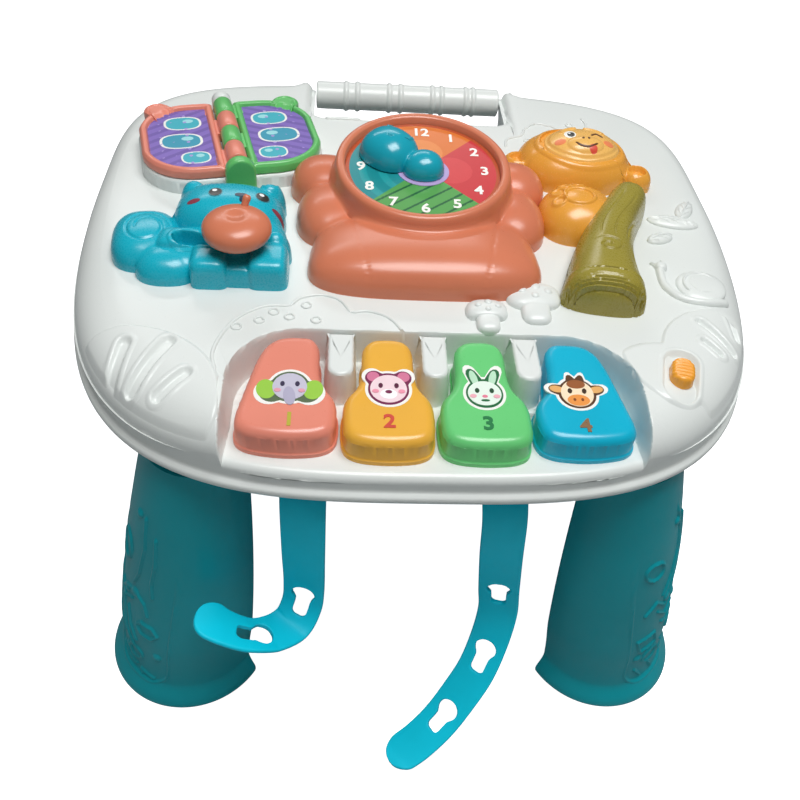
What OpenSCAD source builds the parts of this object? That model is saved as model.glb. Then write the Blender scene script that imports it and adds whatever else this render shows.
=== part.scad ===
// Musical activity table for small children: a white table top that carries toys and a
// four-key keyboard, over a teal base with four hollow legs. Millimetres, +Z up, floor at z = 0.

/* [Table top] */
// Width of the white top shell, side to side
table_w = 286; // [272:1:300]
// Depth of the top in front of its widest line
front_depth = 176; // [170:1:184]
// Depth of the top behind its widest line
rear_depth = 92; // [88:1:98]
// Height of the table surface above the floor
table_h = 173; // [160:1:190]
// Height of the white shell's side, surface to lower rim
shell_h = 26; // [25:0.5:29]
// Radius of the rounded shoulder round the top
shoulder_r = 12; // [8:0.5:14]
// Thickness of the moulded walls
wall = 2.2; // [1.8:0.1:2.6]
// Running gap between a moving piece and what it passes
gap = 0.5; // [0.4:0.05:0.7]
// Assembly gap between fixed pieces that plug together
seat_gap = 0.2; // [0.1:0.05:0.3]

/* [Base and legs] */
// Depth of the base's visible strip below the shell's rim
base_strip = 8; // [6:0.5:12]
// How far the base stands in from the rim of the shell
base_inset = 5; // [4:0.5:8]
// Distance of each leg's top centre in from the shell's side
leg_in_x = 60.5; // [56:0.5:66]
// Distance of each leg's top centre in from the shell's front or rear edge
leg_in_y = 38.5; // [36:0.5:42]
// Radius of a leg at its top
leg_top_r = 21.5; // [20:0.5:23]
// Radius of a leg just above its foot
leg_low_r = 32.5; // [30:0.5:35]
// Extra radius of the flared foot lip
foot_flare = 4; // [2:0.5:6]
// Outward lean of a leg, sideways
leg_lean_x = 16; // [12:1:20]
// Outward lean of a leg, forward or backward
leg_lean_y = 7; // [5:1:9]
// Half of the angle that a leg's C-shaped wall spans
leg_half_angle = 106; // [100:1:112]
// Thickness of a leg's wall
leg_wall = 2.8; // [2.4:0.1:3.2]

/* [Carry handle] */
// Radius of the round grip
grip_r = 7; // [6:0.25:8]
// Length of the grip between its ends
grip_len = 98; // [90:1:104]
// Room for fingers between the grip and the table
finger_gap = 25; // [22:1:28]

/* [Keyboard] */
// Distance from one key to the next
key_pitch = 34; // [33:0.25:35]
// Length of the part of a key that shows
key_len = 48.5; // [47:0.5:50]
// Height of a key's moulded body
key_h = 16; // [14:0.5:17]
// Width of the fixed white sharps
sharp_w = 12.2; // [11:0.2:13]
// Length of the fixed white sharps
sharp_len = 20; // [18:0.5:22]
// Angle that a key sinks through when pressed
key_drop = 4.5; // [3.5:0.1:4.6]
// Radius of the steel rod that the keys turn on
rod_r = 1.5; // [1.25:0.05:1.75]

/* [Clock] */
// Radius of the printed dial
dial_r = 33; // [31:0.5:34]
// Lean of the dial towards the child
dial_lean = 5.5; // [3:0.5:8]
// Height of the dial's centre above the table
dial_z = 19; // [17:0.5:22]
// Radius of the clock hand's axle
axle_r = 2; // [1.5:0.1:2.5]

/* [Book] */
// Length of the book's pages along the spine
book_len = 60; // [56:1:64]
// Width of one page from the spine
page_w = 40; // [36:0.5:42]
// Thickness of a page
page_t = 4; // [3.5:0.25:5]
// Height of the white book base
book_base_h = 7; // [6:0.5:9]
// Radius of the hinge knuckles
knuckle_r = 4.5; // [4:0.25:5]
// Radius of the hinge pin
pin_r = 1.25; // [1:0.05:1.5]

/* [Squirrel and apple] */
// Height of the squirrel's body above the table
squirrel_h = 14; // [12:0.5:16]
// Travel of the apple along its slot
apple_travel = 22; // [18:1:24]
// Width of the slot that the apple's stem runs in
slot_w = 6; // [5:0.25:7]

/* [Monkey and tree] */
// Height of the monkey's head above the table
monkey_h = 17; // [15:0.5:19]
// Travel of the face button
button_travel = 2; // [1.5:0.25:2.5]
// Height of the tree trunk above the table
trunk_h = 17; // [14:0.5:19]

/* [Switch and straps] */
// Travel of the slide switch each way from its middle
switch_travel = 5; // [4:0.5:5.5]
// Width of the rubber straps
strap_w = 17; // [15:0.5:18]
// Thickness of the rubber straps
strap_t = 2.2; // [2:0.1:2.6]

/* [Hidden] */

$fn = 48;
tiny = 0.01;
white = "#EEF3F0";
teal = "#00A3B4";
coral = "#DE8069";
yellow = "#E8B545";
green = "#6CCB7C";
blue = "#00A9CC";
amber = "#E8A848";
olive = "#8F8530";

// ---- places on the table, seen from above, from the middle of the table
wide_y = 40;                       // the line where the table is widest
front_n = 3.2;                     // squareness of the front half of the outline
rear_n = 3.4;                      // squareness of the rear half of the outline
outline_n = 72;                    // points round the outline
front_y = wide_y - front_depth;
rear_y = wide_y + rear_depth;
floor_z = -table_h;
rim_z = -shell_h;
base_z = rim_z - base_strip;       // underside of the base
plate_t = wall;

// The strap's tip reaches further forward than the feet reach back, so the origin, below the
// middle of the whole object's box, lies in front of the middle of the table.
strap_tip_reach = 34.7;
foot_r = leg_low_r + foot_flare;
leg_share = 1 - 2 * leg_in_x / 286;   // a leg's place is a share of the table's half width
leg_x = table_w / 2 * leg_share;
leg_front_y = front_y + leg_in_y;
leg_rear_y = rear_y - leg_in_y;
box_front = front_y - strap_tip_reach;
box_rear = leg_rear_y + leg_lean_y + foot_r;
shift_y = -(box_front + box_rear) / 2;

module on_table() translate([0, shift_y, table_h]) children();

// ---- helpers
function sgn(v) = v < 0 ? -1 : 1;
function power(v, n) = sgn(v) * pow(abs(v), 2 / n);
function flat(lists) = [for (l = lists) for (e = l) e];
function lift(pts, z) = [for (p = pts) [p[0], p[1], z]];
function mix(a, b, t) = a + (b - a) * t;
function turn(p, a) = [p[0] * cos(a) - p[1] * sin(a), p[0] * sin(a) + p[1] * cos(a)];
function arc(c, r, a0, a1, n) = [for (i = [0:n]) c + r * [cos(mix(a0, a1, i / n)), sin(mix(a0, a1, i / n))]];

// Two superellipse halves of the table's outline, drawn in by a distance
function outline(inset) = [for (i = [0:outline_n - 1])
  let (a = 360 * i / outline_n, s = sin(a), n = s < 0 ? front_n : rear_n,
       d = s < 0 ? front_depth : rear_depth)
  [(table_w / 2 - inset) * power(cos(a), n), wide_y + (d - inset) * power(s, n)]];

// Skin over rings that all have the same number of points, lowest ring first
module loft(rings, strip = false) {
  n = len(rings[0]);
  m = len(rings);
  // a C-shaped end is closed by a strip of triangles between its outer and its inner arc
  ends = [for (i = [0:n / 2 - 2]) each [[i, i + 1, n - 1 - i], [i + 1, n - 2 - i, n - 1 - i]]];
  polyhedron(
    points = flat(rings),
    faces = concat(
      strip ? ends : [[for (i = [0:n - 1]) i]],
      flat([for (k = [0:m - 2]) flat([for (i = [0:n - 1]) let (j = (i + 1) % n)
        [[k * n + i, (k + 1) * n + i, (k + 1) * n + j], [k * n + i, (k + 1) * n + j, k * n + j]]])]),
      strip ? [for (f = ends) [for (i = [2:-1:0]) (m - 1) * n + f[i]]] : [[for (i = [n - 1:-1:0]) (m - 1) * n + i]]),
    convexity = 6);
}

// Pad with rounded shoulders over an outline: a straight side, then a quarter round.
// The outline is drawn towards a middle point, so it has to be visible all round from there.
module crowned(pts, h, round, middle, steps = 4, grow = 0) {
  span = max([for (p = pts) norm(p - middle)]);
  loft(concat(
    [lift([for (p = pts) middle + (p - middle) * (1 + grow / span)], 0)],
    [for (k = [0:steps]) let (a = 90 * k / steps, s = 1 - round * (1 - cos(a)) / span)
      lift([for (p = pts) middle + (p - middle) * s], h - round + round * sin(a))]));
}

function ellipse(c, rx, ry, n = 36, a = 0) =
  [for (i = [0:n - 1]) c + turn([rx * cos(360 * i / n), ry * sin(360 * i / n)], a)];

// ---- white top shell
handle_x = 2.5;
notch_half = grip_len / 2;
grip_y = rear_y - grip_r - 2;
grip_z = -grip_r + 1;
notch_y = grip_y - grip_r - finger_gap;
boss_r = 4;
screw_r = 1.5;
boss_places = [[-118, 70], [118, 70], [-128, -20], [128, -20], [-40, 72], [40, 72]];

// Keyboard well
kb_x = 3.5;
kb_half = 2 * key_pitch + 1;
well_side = kb_half + 3;
well_z = -14.5;                    // ledge in front of the keys
key_rear_y = front_y + 56;
key_front_y = key_rear_y - key_len;
well_rear_y = key_rear_y + 3;
rod_y = well_rear_y + 8;
rod_z = -9.5;

function well_outline(g) = concat(
  [[kb_x + well_side + 4 + g, front_y - 20], [kb_x + well_side + g, key_front_y + 16]],
  arc([kb_x + well_side - 24, well_rear_y - 24], 24 + g, 0, 90, 6),
  arc([kb_x - well_side + 24, well_rear_y - 24], 24 + g, 90, 180, 6),
  [[kb_x - well_side - g, key_front_y + 16], [kb_x - well_side - 4 - g, front_y - 20]]);

module shell_outer() {
  r = shoulder_r;
  loft(concat(
    [lift(outline(0), rim_z), lift(outline(0), rim_z + 3), lift(outline(2.6), rim_z + 4),
     lift(outline(2.2), rim_z + 6)],
    [for (a = [0:18:90]) lift(outline(2.2 + r * (1 - cos(a))), -r + r * sin(a))]));
}

module shell_inner() {
  r = shoulder_r - wall;
  loft(concat(
    [lift(outline(2.2 + wall), rim_z - 1)],
    [for (a = [0:30:90]) lift(outline(2.2 + wall + r * (1 - cos(a))), -wall - r + r * sin(a))]));
}

module notch(g, z0, z1) {
  translate([handle_x, 0, z0]) linear_extrude(z1 - z0) union() {
    translate([-notch_half - g, notch_y + 8 - g]) square([2 * (notch_half + g), rear_y]);
    translate([-notch_half + 8, notch_y - g]) square([2 * (notch_half - 8), 20]);
    for (s = [-1, 1]) translate([s * (notch_half - 8), notch_y + 8]) circle(8 + g);
  }
}

spigot_r = 4;
spigot_l = 5;

// Raised pads, slots and small pictures in relief on the table surface
pad_left = [-108, -113];
pad_right = [118, -84];
module reliefs() {
  intersection() {
    union() {
      translate([pad_left[0], pad_left[1], -4]) cylinder(r = 38, h = 5.2);
      translate([pad_right[0], pad_right[1], -4]) cylinder(r = 28, h = 5.2);
    }
    loft([lift(outline(9), -6), lift(outline(9), -1), lift(outline(14), 1.2)]);
  }
  // low bush in front of the toys
  for (c = [[-63, -82, 12], [-39, -76, 14], [-14, -84, 12]])
    translate([c[0], c[1], -1]) cylinder(r = c[2], h = 2.2);
  // two mushrooms
  difference() {
    for (m = [[25, -66, 7.5, 5], [43, -58, 9.5, 7]]) {
      translate([m[0], m[1], -1]) intersection() {
        cylinder(r = m[2], h = 3.4);
        translate([-m[2], -1, 0]) cube([2 * m[2], m[2] + 1, 4]);
      }
      translate([m[0] - m[3] * 0.7, m[1] - m[2] * 0.9, -1]) cube([m[3] * 1.4, m[2], 3]);
    }
    // the clock's skirt stands in front of the larger one
    translate([clock_at[0], -34, -0.5]) linear_extrude(6) polygon(skirt_outline(seat_gap));
  }
  // snail: a spiral shell over a long foot
  translate([116, -42, -1]) cylinder(r = 9.5, h = 4);
  translate([116, -42, -1]) cylinder(r = 5, h = 5);
  translate([98, -49, -1]) rotate(10) cube([22, 4, 3]);
  translate([100, -44, -1]) cylinder(r = 4, h = 3.4);
  // leaves
  for (l = [[114, 2, 12, 5, -8], [104, -6, 6, 4, 20]])
    translate([l[0], l[1], -1]) linear_extrude(2.4) polygon(ellipse([0, 0], l[2], l[3], 16, l[4]));
  // rear bush beside the handle, with a slim bar on the other side
  for (c = [[66, 84, 11], [80, 88, 10], [58, 72, 8]])
    translate([c[0], c[1], -1]) cylinder(r = c[2], h = 2.6);
  translate([-41, 83, -1]) cube([18, 4, 3]);
}

// Grooves sunk into the pads
module pad_slots() {
  for (s = [[-109, -93, 6, 21, -5], [-97, -95, 6, 28, 58], [-88, -105, 5, 16, 58],
            [114, -72, 5, 22, -55], [124, -65, 4, 12, -80], [109, -79, 4, 10, -60]])
    translate([s[0], s[1], -0.6]) rotate(s[4] - 90) linear_extrude(4) hull()
      for (e = [-1, 1]) translate([e * (s[3] - s[2]) / 2, 0]) circle(s[2] / 2, $fn = 16);
}

// Switch place
switch_at = [93.5, -95];
switch_turn = -15;
switch_half = switch_travel + 8;
module on_switch() translate([switch_at[0], switch_at[1], 0]) rotate(switch_turn) children();

module stadium(w, l) union() {
  square([w, l - w], center = true);
  for (s = [-1, 1]) translate([0, s * (l - w) / 2]) circle(w / 2);
}

module key_openings() {
  for (i = [0:3]) {
    // the arms reach the rod through the rear wall of the well
    translate([key_x(i) - arm_w / 2 - 1, well_rear_y - 3, rod_z - 4.5])
      cube([arm_w + 2, wall + 6, 8]);
    // each key sinks through the ledge
    translate([0, 0, well_z - wall - 2]) linear_extrude(wall + 4) polygon(key_outline(i, gap + 0.3));
  }
}

function key_x(i) = kb_x + (i - 1.5) * key_pitch;
arm_w = 8;
push_y = key_front_y + 16;
push_r = 3;

module sharps() {
  for (i = [-1:1]) translate([kb_x + i * key_pitch, well_rear_y + tiny, 0]) {
    difference() {
      translate([0, 0, well_z - wall + tiny]) linear_extrude(-well_z + wall + 2) union() {
        translate([-sharp_w / 2, -sharp_len - 1]) square([sharp_w, sharp_len + 1]);
        translate([0, -sharp_len]) intersection() {
          circle(sharp_w / 2);
          translate([-sharp_w, -2 * sharp_w]) square([2 * sharp_w, 2 * sharp_w]);
        }
      }
      // top slopes down towards the child
      translate([-sharp_w, -sharp_len - sharp_w, 2]) rotate([6, 0, 0]) translate([0, -2, -1.2])
        cube([2 * sharp_w, sharp_len + sharp_w, 8]);
    }
  }
}

module rod_lugs() {
  for (x = [kb_x - kb_half - 1, kb_x - key_pitch, kb_x, kb_x + key_pitch, kb_x + kb_half + 1])
    translate([x, rod_y, 0]) difference() {
      translate([-1.2, -4, rod_z - 4]) cube([2.4, 8, -rod_z + 4 - wall + 0.4]);
      translate([-3, 0, rod_z]) rotate([0, 90, 0]) cylinder(r = rod_r + 0.05, h = 6);
    }
}

module top_shell() color(white) on_table() {
  difference() {
    union() {
      difference() {
        shell_outer();
        shell_inner();
      }
      // tray of the keyboard well
      intersection() {
        loft([lift(outline(3), well_z - plate_t), lift(outline(3), -wall - 0.2)]);
        difference() {
          translate([0, 0, well_z - plate_t]) linear_extrude(-well_z) polygon(well_outline(wall));
          translate([0, 0, well_z]) linear_extrude(-well_z + 1) polygon(well_outline(0));
        }
      }
      // wall round the hand hole
      intersection() {
        loft([lift(outline(2.4), rim_z), lift(outline(2.4), -wall)]);
        difference() {
          notch(wall, rim_z, -wall + tiny);
          notch(0, rim_z - 1, 1);
        }
      }
      reliefs();
      // screw bosses hang from the top down to the base
      for (b = boss_places) translate([b[0], b[1], rim_z + 2]) cylinder(r = boss_r, h = shell_h - 3);
      rod_lugs();
    }
    // mouth of the well, cut through the top and the front slope
    translate([0, 0, well_z]) linear_extrude(-well_z + 6) polygon(well_outline(0));
    notch(0, rim_z - 2, 4);
    translate([handle_x - notch_half - spigot_l - 1, grip_y, grip_z]) rotate([0, 90, 0])
      cylinder(r = spigot_r + seat_gap, h = 2 * notch_half + 2 * spigot_l + 2);
    key_openings();
    pad_slots();
    for (b = boss_places) translate([b[0], b[1], rim_z - 1]) cylinder(r = screw_r + 0.05, h = 14);
    // recess and slot of the switch
    on_switch() translate([0, 0, -1]) linear_extrude(3) stadium(13, 2 * switch_half);
    on_switch() translate([0, 0, -5]) linear_extrude(9) stadium(slot_w, 2 * switch_travel + 10);
    // light hole under the face button and wire hole of the clock
    translate([button_at[0], button_at[1], -4]) cylinder(r = 3, h = 8);
  }
  sharps();
}

// ---- teal base shell
module base_socket_holes(r, z0, h) {
  for (sx = [-1, 1], y = [leg_front_y, leg_rear_y])
    translate([sx * leg_x, y, z0]) cylinder(r = r, h = h);
}
plug_r = 13;
plug_h = 9;
bay_at = [-60, 20];                // battery bay, seen from below
bay_w = 52;
bay_l = 54;
bay_top = base_z + 17;
speaker_at = [62, 20];
speaker_r = 20;
strap_boss_h = 7;
pin_through_r = 1.5;

module base_shell() color(teal) on_table() {
  difference() {
    union() {
      difference() {
        loft([lift(outline(base_inset + 4), base_z), lift(outline(base_inset + 1), base_z + 2),
              lift(outline(base_inset), base_z + 5), lift(outline(base_inset), rim_z + 1)]);
        loft([lift(outline(base_inset + 4 + wall), base_z + wall), lift(outline(base_inset + wall), base_z + 5),
              lift(outline(base_inset + wall), rim_z + 2)]);
      }
      // wall round the hand hole
      intersection() {
        loft([lift(outline(base_inset + 3), base_z), lift(outline(base_inset + 3), rim_z - seat_gap)]);
        difference() {
          notch(wall + 1, base_z, rim_z - seat_gap);
          notch(1, base_z - 1, rim_z + 1);
        }
      }
      base_socket_holes(plug_r + seat_gap + wall, base_z, plug_h);
      // battery bay
      translate([bay_at[0] - bay_w / 2 - wall, bay_at[1] - bay_l / 2 - wall, base_z])
        cube([bay_w + 2 * wall, bay_l + 2 * wall, bay_top - base_z + wall]);
      // ring that holds the speaker
      translate([speaker_at[0], speaker_at[1], base_z]) cylinder(r = speaker_r + 2 + wall, h = 6);
      // bosses under the screws
      for (b = boss_places) translate([b[0], b[1], base_z]) cylinder(r = boss_r, h = rim_z + 2 - base_z);
      for (s = strap_places) translate([s[0], s[1], base_z]) cylinder(r = 5, h = strap_boss_h);
      // posts under the circuit board, with pins that go through it
      for (x = [-1, 1]) translate([kb_x + x * key_pitch / 2, post_y, base_z]) {
        cylinder(r = 3.5, h = board_z - base_z);
        cylinder(r = pin_through_r, h = board_z - base_z + board_t + 1);
      }
    }
    notch(1, base_z - 1, rim_z + 3);
    notch(wall + 0.4, rim_z - 0.1, rim_z + 3);
    base_socket_holes(plug_r + seat_gap, base_z - 1, plug_h + 2);
    translate([bay_at[0] - bay_w / 2, bay_at[1] - bay_l / 2, base_z - 1])
      cube([bay_w, bay_l, bay_top - base_z + 1]);
    translate([speaker_at[0], speaker_at[1], base_z + wall]) cylinder(r = speaker_r + 1 + seat_gap, h = 8);
    // sound holes
    for (ring = [[0, 1], [6, 6], [12, 12]], i = [0:ring[1] - 1])
      translate([speaker_at[0], speaker_at[1], base_z - 1]) rotate(360 * i / ring[1])
        translate([ring[0], 0]) cylinder(r = 1.6, h = wall + 2, $fn = 16);
    for (b = boss_places) translate([b[0], b[1], base_z - 1]) {
      cylinder(r = screw_r + 0.3, h = 14);
      cylinder(r = 3.2, h = 4);
    }
    for (s = strap_places) translate([s[0], s[1], base_z - 1]) cylinder(r = stud_r + 0.05, h = strap_boss_h);
  }
}

// ---- legs: C-shaped shells that widen and lean outwards to a flared foot
leg_h = table_h + base_z;
leg_cap = 3;                       // thickness of the closed top
leg_arc_n = 15;
leg_bulge = 2.6;                   // how far a leg's wall swells at half height
function leg_r(t) = mix(leg_top_r, leg_low_r, t);
function leg_mid(t) = [leg_lean_x * t, -leg_lean_y * t];
// one ring of the leg at a share t of its height, measured down from the base
function leg_ring(t, extra, z) = let (c = leg_mid(t), r = leg_r(t) + extra, a = -45)
  lift(concat(arc(c, r, a - leg_half_angle, a + leg_half_angle, leg_arc_n),
       arc(c, r - leg_wall, a + leg_half_angle, a - leg_half_angle, leg_arc_n)), z);

module leg_shell() {
  loft(concat(
    [leg_ring(1, foot_flare, -leg_h), leg_ring(1, foot_flare, -leg_h + 3),
     leg_ring(1 - 7 / leg_h, foot_flare * 0.4, -leg_h + 7), leg_ring(1 - 13 / leg_h, 0, -leg_h + 13)],
    [for (t = [0.66, 0.4, 0.18]) leg_ring(t, 4 * t * (1 - t) * leg_bulge, -leg_h * t)],
    [leg_ring(0, 0, -leg_cap / 2)]), strip = true);
  // closed top with a round hollow plug that goes up into the base
  translate([0, 0, -leg_cap]) cylinder(r = leg_top_r + 0.5, h = leg_cap);
  translate([0, 0, -leg_cap / 2]) difference() {
    cylinder(r = plug_r, h = leg_cap / 2 + plug_h);
    translate([0, 0, leg_cap]) cylinder(r = plug_r - leg_wall, h = plug_h);
  }
}

module leg(sx, y, sy) color(teal) on_table()
  translate([sx * leg_x, y, base_z]) mirror([sx < 0 ? 1 : 0, 0, 0]) mirror([0, sy < 0 ? 1 : 0, 0]) leg_shell();
module leg_front_right() leg(1, leg_front_y, 1);
module leg_front_left() leg(-1, leg_front_y, 1);
module leg_rear_right() leg(1, leg_rear_y, -1);
module leg_rear_left() leg(-1, leg_rear_y, -1);

// ---- carry handle: a ringed round bar across the rear notch
module carry_handle() color(white) on_table() translate([handle_x, grip_y, grip_z]) rotate([0, 90, 0]) {
  half = notch_half - seat_gap;
  rotate_extrude() polygon(concat(
    [[0, -half], [grip_r - 1, -half], [grip_r, -half + 1]],
    flat([for (x = [-35, -27, -9, -2, 15, 22, 33]) [[grip_r, x - 1.2], [grip_r + 0.7, x], [grip_r, x + 1.2]]]),
    [[grip_r, half - 1], [grip_r - 1, half], [0, half]]));
  translate([0, 0, -half - spigot_l]) cylinder(r = spigot_r, h = 2 * (half + spigot_l));
}

// ---- clock
clock_at = [2.5, 7];
clock_depth = 4;                   // how far the dial lies below the rim
axle_floor = 4;                    // floor between the dial and the head of the axle
module on_dial() translate([clock_at[0], clock_at[1], dial_z]) rotate([dial_lean, 0, 0]) children();
rim_w = 4;
function skirt_outline(g) = concat(arc([-30, -8], 14 + g, 180, 270, 5), arc([30, -8], 14 + g, 270, 360, 5),
  arc([34, 14], 12 + g, 0, 90, 4), arc([-34, 14], 12 + g, 90, 180, 4));
module clock_housing() color(coral) on_table() difference() {
  union() {
    // bell under the dial
    loft([for (s = [[0, 12, 0], [0.25, 8.5, 1.2], [0.6, 5.5, 2.5], [0.9, 4, 4], [1, 3, 4.5]])
      [for (p = ellipse([0, 0], dial_r + s[1], dial_r + s[1], 40))
        let (lean = tan(dial_lean) * p[1], top = dial_z + clock_depth + lean)
        [clock_at[0] + p[0], clock_at[1] + p[1], s[0] * top]]]);
    // two upper lobes
    for (s = [-1, 1]) translate([clock_at[0] + s * 39, 17, 0])
      crowned(ellipse([0, 0], 14.5, 14, 24), 15, 9, [0, 0]);
    for (s = [-1, 1]) translate([clock_at[0] + s * 36, -4, 0])
      crowned(ellipse([0, 0], 14, 16, 24), 14, 9, [0, 0]);
    // skirt that spreads towards the keyboard
    translate([clock_at[0], -34, 0])
      crowned(skirt_outline(0), 13, 9, [0, 0]);
  }
  on_dial() cylinder(r = dial_r, h = 30);
  // hollow inside, with a floor under the dial
  translate([clock_at[0], clock_at[1], -1]) cylinder(r = dial_r - 3, h = dial_z - axle_floor - 3);
  on_dial() translate([0, 0, -axle_floor - 6]) cylinder(r = axle_r + 3, h = 6);
  on_dial() translate([0, 0, -axle_floor - 8]) cylinder(r = axle_r + 0.05, h = axle_floor + 12);
}

module clock_dial() color("#E2603F") on_table() on_dial() difference() {
  translate([0, 0, tiny]) cylinder(r = dial_r - seat_gap, h = 1);
  translate([0, 0, -1]) cylinder(r = axle_r + seat_gap, h = 4);
}

module clock_axle() color("silver") on_table() on_dial() {
  translate([0, 0, -axle_floor - 1]) cylinder(r = axle_r, h = axle_floor + 9);
  translate([0, 0, -axle_floor - seat_gap - 1.2]) cylinder(r = axle_r + 2.5, h = 1.2);
}

hand_turn = 45;                    // direction the hand points in, from 12 towards 9
hand_reach = 15;
module clock_hand() color(teal) on_table() on_dial() difference() {
  translate([0, 0, 1.5]) rotate(hand_turn) union() {
    cylinder(r = 6, h = 4);
    crowned(ellipse([0, 0], 8, 7.5, 24), 9, 6, [0, 0]);
    translate([0, hand_reach, 0]) crowned(ellipse([0, 0], 11.5, 12.5, 28), 11, 9, [0, 0]);
    translate([-4, 0, 0]) cube([8, hand_reach, 5]);
  }
  translate([0, 0, -1]) cylinder(r = axle_r + 0.1, h = 9.5);
}

// ---- book
book_at = [-83, 46];
book_turn = 13.5;
book_axis_z = book_base_h + page_t + gap;
module on_book() translate([book_at[0], book_at[1], 0]) rotate(book_turn) children();
// D-shaped half page beside the spine, with its ear
function page_outline(g) = concat(
  [[knuckle_r + gap - g, -book_len / 2 - g]],
  arc([page_w - page_round, -book_len / 2 + page_round], page_round + g, -90, -10, 6),
  arc([page_w - page_round, book_len / 2 - page_round], page_round + g, 10, 90, 6),
  [[knuckle_r + gap - g, book_len / 2 + g]]);
page_round = 23;
module ear(h) translate([page_w - 10, book_len / 2 - 3]) cylinder(r = 6.5, h = h);

card_t = 1.5;                      // depth of the recess for a printed card
card_in = 3.5;                     // width of the frame round a card
knuckle_n = 4;
knuckle_span = book_len - 6;
knuckle_l = knuckle_span / knuckle_n;
function knuckle_y(i) = knuckle_span / 2 - (i + 0.5) * knuckle_l;
module page(first) {
  translate([0, 0, book_base_h + gap / 2]) difference() {
    union() {
      linear_extrude(page_t) polygon(page_outline(0));
      ear(page_t);
    }
    // recess of the printed card
    translate([0, 0, page_t - card_t]) linear_extrude(3) polygon(card_outline(0));
  }
  for (i = [first:2:knuckle_n - 1]) translate([0, knuckle_y(i), book_axis_z]) difference() {
    union() {
      rotate([90, 0, 0]) cylinder(r = knuckle_r, h = knuckle_l - gap, center = true);
      translate([0, -(knuckle_l - gap) / 2, gap / 2 - page_t - gap]) cube([knuckle_r + gap + 1, knuckle_l - gap, page_t]);
    }
    rotate([90, 0, 0]) cylinder(r = pin_r + 0.1, h = knuckle_l + 2, center = true);
  }
}
function card_outline(g) = concat(
  [[knuckle_r + gap + card_in + g, -book_len / 2 + card_in + g]],
  arc([page_w - page_round, -book_len / 2 + page_round], page_round - card_in - g, -90, -10, 6),
  arc([page_w - page_round, book_len / 2 - page_round], page_round - card_in - g, 10, 90, 6),
  [[knuckle_r + gap + card_in + g, book_len / 2 - card_in - g]]);
module picture() translate([0, 0, book_base_h + gap / 2 + page_t - card_t + tiny]) linear_extrude(card_t - 0.5)
  polygon(card_outline(seat_gap));

module page_right() color(green) on_table() on_book() page(0);
module page_left() color(coral) on_table() on_book() mirror([1, 0, 0]) page(1);
module picture_right() color("#5B4BA0") on_table() on_book() picture();
module picture_left() color("#5B4BA0") on_table() on_book() mirror([1, 0, 0]) picture();
module book_pin() color("silver") on_table() on_book() translate([0, 0, book_axis_z]) rotate([90, 0, 0])
  translate([0, 0, 1]) cylinder(r = pin_r, h = book_len + 4, center = true);

module book_base() color(white) on_table() on_book() {
  difference() {
    union() {
      for (s = [0, 1]) mirror([s, 0, 0]) {
        linear_extrude(book_base_h) polygon(concat([[-1, -book_len / 2 - 1]], page_outline(0.8), [[-1, book_len / 2 + 1]]));
        ear(book_base_h);
      }
      // rear post with the white cap
      translate([-4.5, book_len / 2 - 2.5, 0]) cube([9, 5, book_axis_z]);
      translate([0, book_len / 2 + 2.5, book_axis_z]) rotate([90, 0, 0]) cylinder(r = 4.5, h = 5);
      // front post
      translate([-4, -book_len / 2 - 1, 0]) cube([8, 3, book_axis_z + 3]);
    }
    // trough under the knuckles
    translate([-knuckle_r - gap, -knuckle_span / 2 - gap, book_axis_z - knuckle_r - gap])
      cube([2 * (knuckle_r + gap), knuckle_span + 2 * gap, 20]);
    translate([0, 0, book_axis_z]) rotate([90, 0, 0]) cylinder(r = pin_r + 0.05, h = book_len + 4.4, center = true);
  }
}

module hinge_clip() color(green) on_table() on_book() translate([0, -book_len / 2 - 1 - seat_gap, 0]) difference() {
  translate([-6.5, -5, 0]) union() {
    cube([13, 5, book_axis_z]);
    translate([6.5, 5, book_axis_z]) rotate([90, 0, 0]) cylinder(r = 6.5, h = 5);
  }
  translate([0, 1, book_axis_z]) rotate([90, 0, 0]) cylinder(r = pin_r + 0.05, h = 4);
}

// ---- squirrel and apple
apple_at = [-71, -38.5];
channel_h = 8;                     // room inside the squirrel for the apple's foot
apple_turn = -4;
foot_w = slot_w + 6;
module on_apple() translate([apple_at[0], apple_at[1], 0]) rotate(apple_turn) children();
// slot that starts at the apple and runs to the left
module stadium_x(w, l) union() {
  translate([-(l - w), -w / 2]) square([l - w, w]);
  circle(w / 2);
  translate([-(l - w), 0]) circle(w / 2);
}
module squirrel() color("#18AFC4") on_table() difference() {
  union() {
    // tail, back and feet, chest, head and ears
    translate([-106, -30, 0]) crowned(ellipse([0, 0], 16, 19, 32), squirrel_h - 3, 7, [0, 0]);
    translate([-84, -40, 0]) crowned(ellipse([0, 0], 26, 14, 36), squirrel_h - 2, 6, [0, 0]);
    translate([-69, -30, 0]) crowned(ellipse([0, 0], 17, 22, 32), squirrel_h, 7, [0, 0]);
    translate([-71, -11, 0]) crowned(ellipse([0, 0], 21, 13.5, 36), squirrel_h + 4, 8, [0, 0]);
    for (x = [-86, -56]) translate([x, -2, 0]) crowned(ellipse([0, 0], 6, 6, 16), squirrel_h + 1, 4, [0, 0], 3);
  }
  // channel for the apple's foot, open below, with the slot above it
  on_apple() translate([0, 0, -1]) linear_extrude(channel_h + 1) stadium_x(foot_w + 2 * gap, foot_w + 2 * gap + apple_travel);
  on_apple() translate([0, 0, -1]) linear_extrude(40) stadium_x(slot_w, slot_w + apple_travel);
}
module apple_slider() color(coral) on_table() on_apple() {
  translate([0, 0, channel_h - gap - 2.6]) cylinder(r = foot_w / 2, h = 2.6);
  translate([0, 0, channel_h - 2]) cylinder(r = slot_w / 2 - gap, h = squirrel_h - channel_h + 4);
  translate([0, 0, squirrel_h + gap]) crowned(ellipse([0, 0], 13, 11, 28), 11, 8, [0, 0]);
  translate([3, 8, squirrel_h + 8]) cylinder(r = 1.6, h = 5);
}

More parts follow.
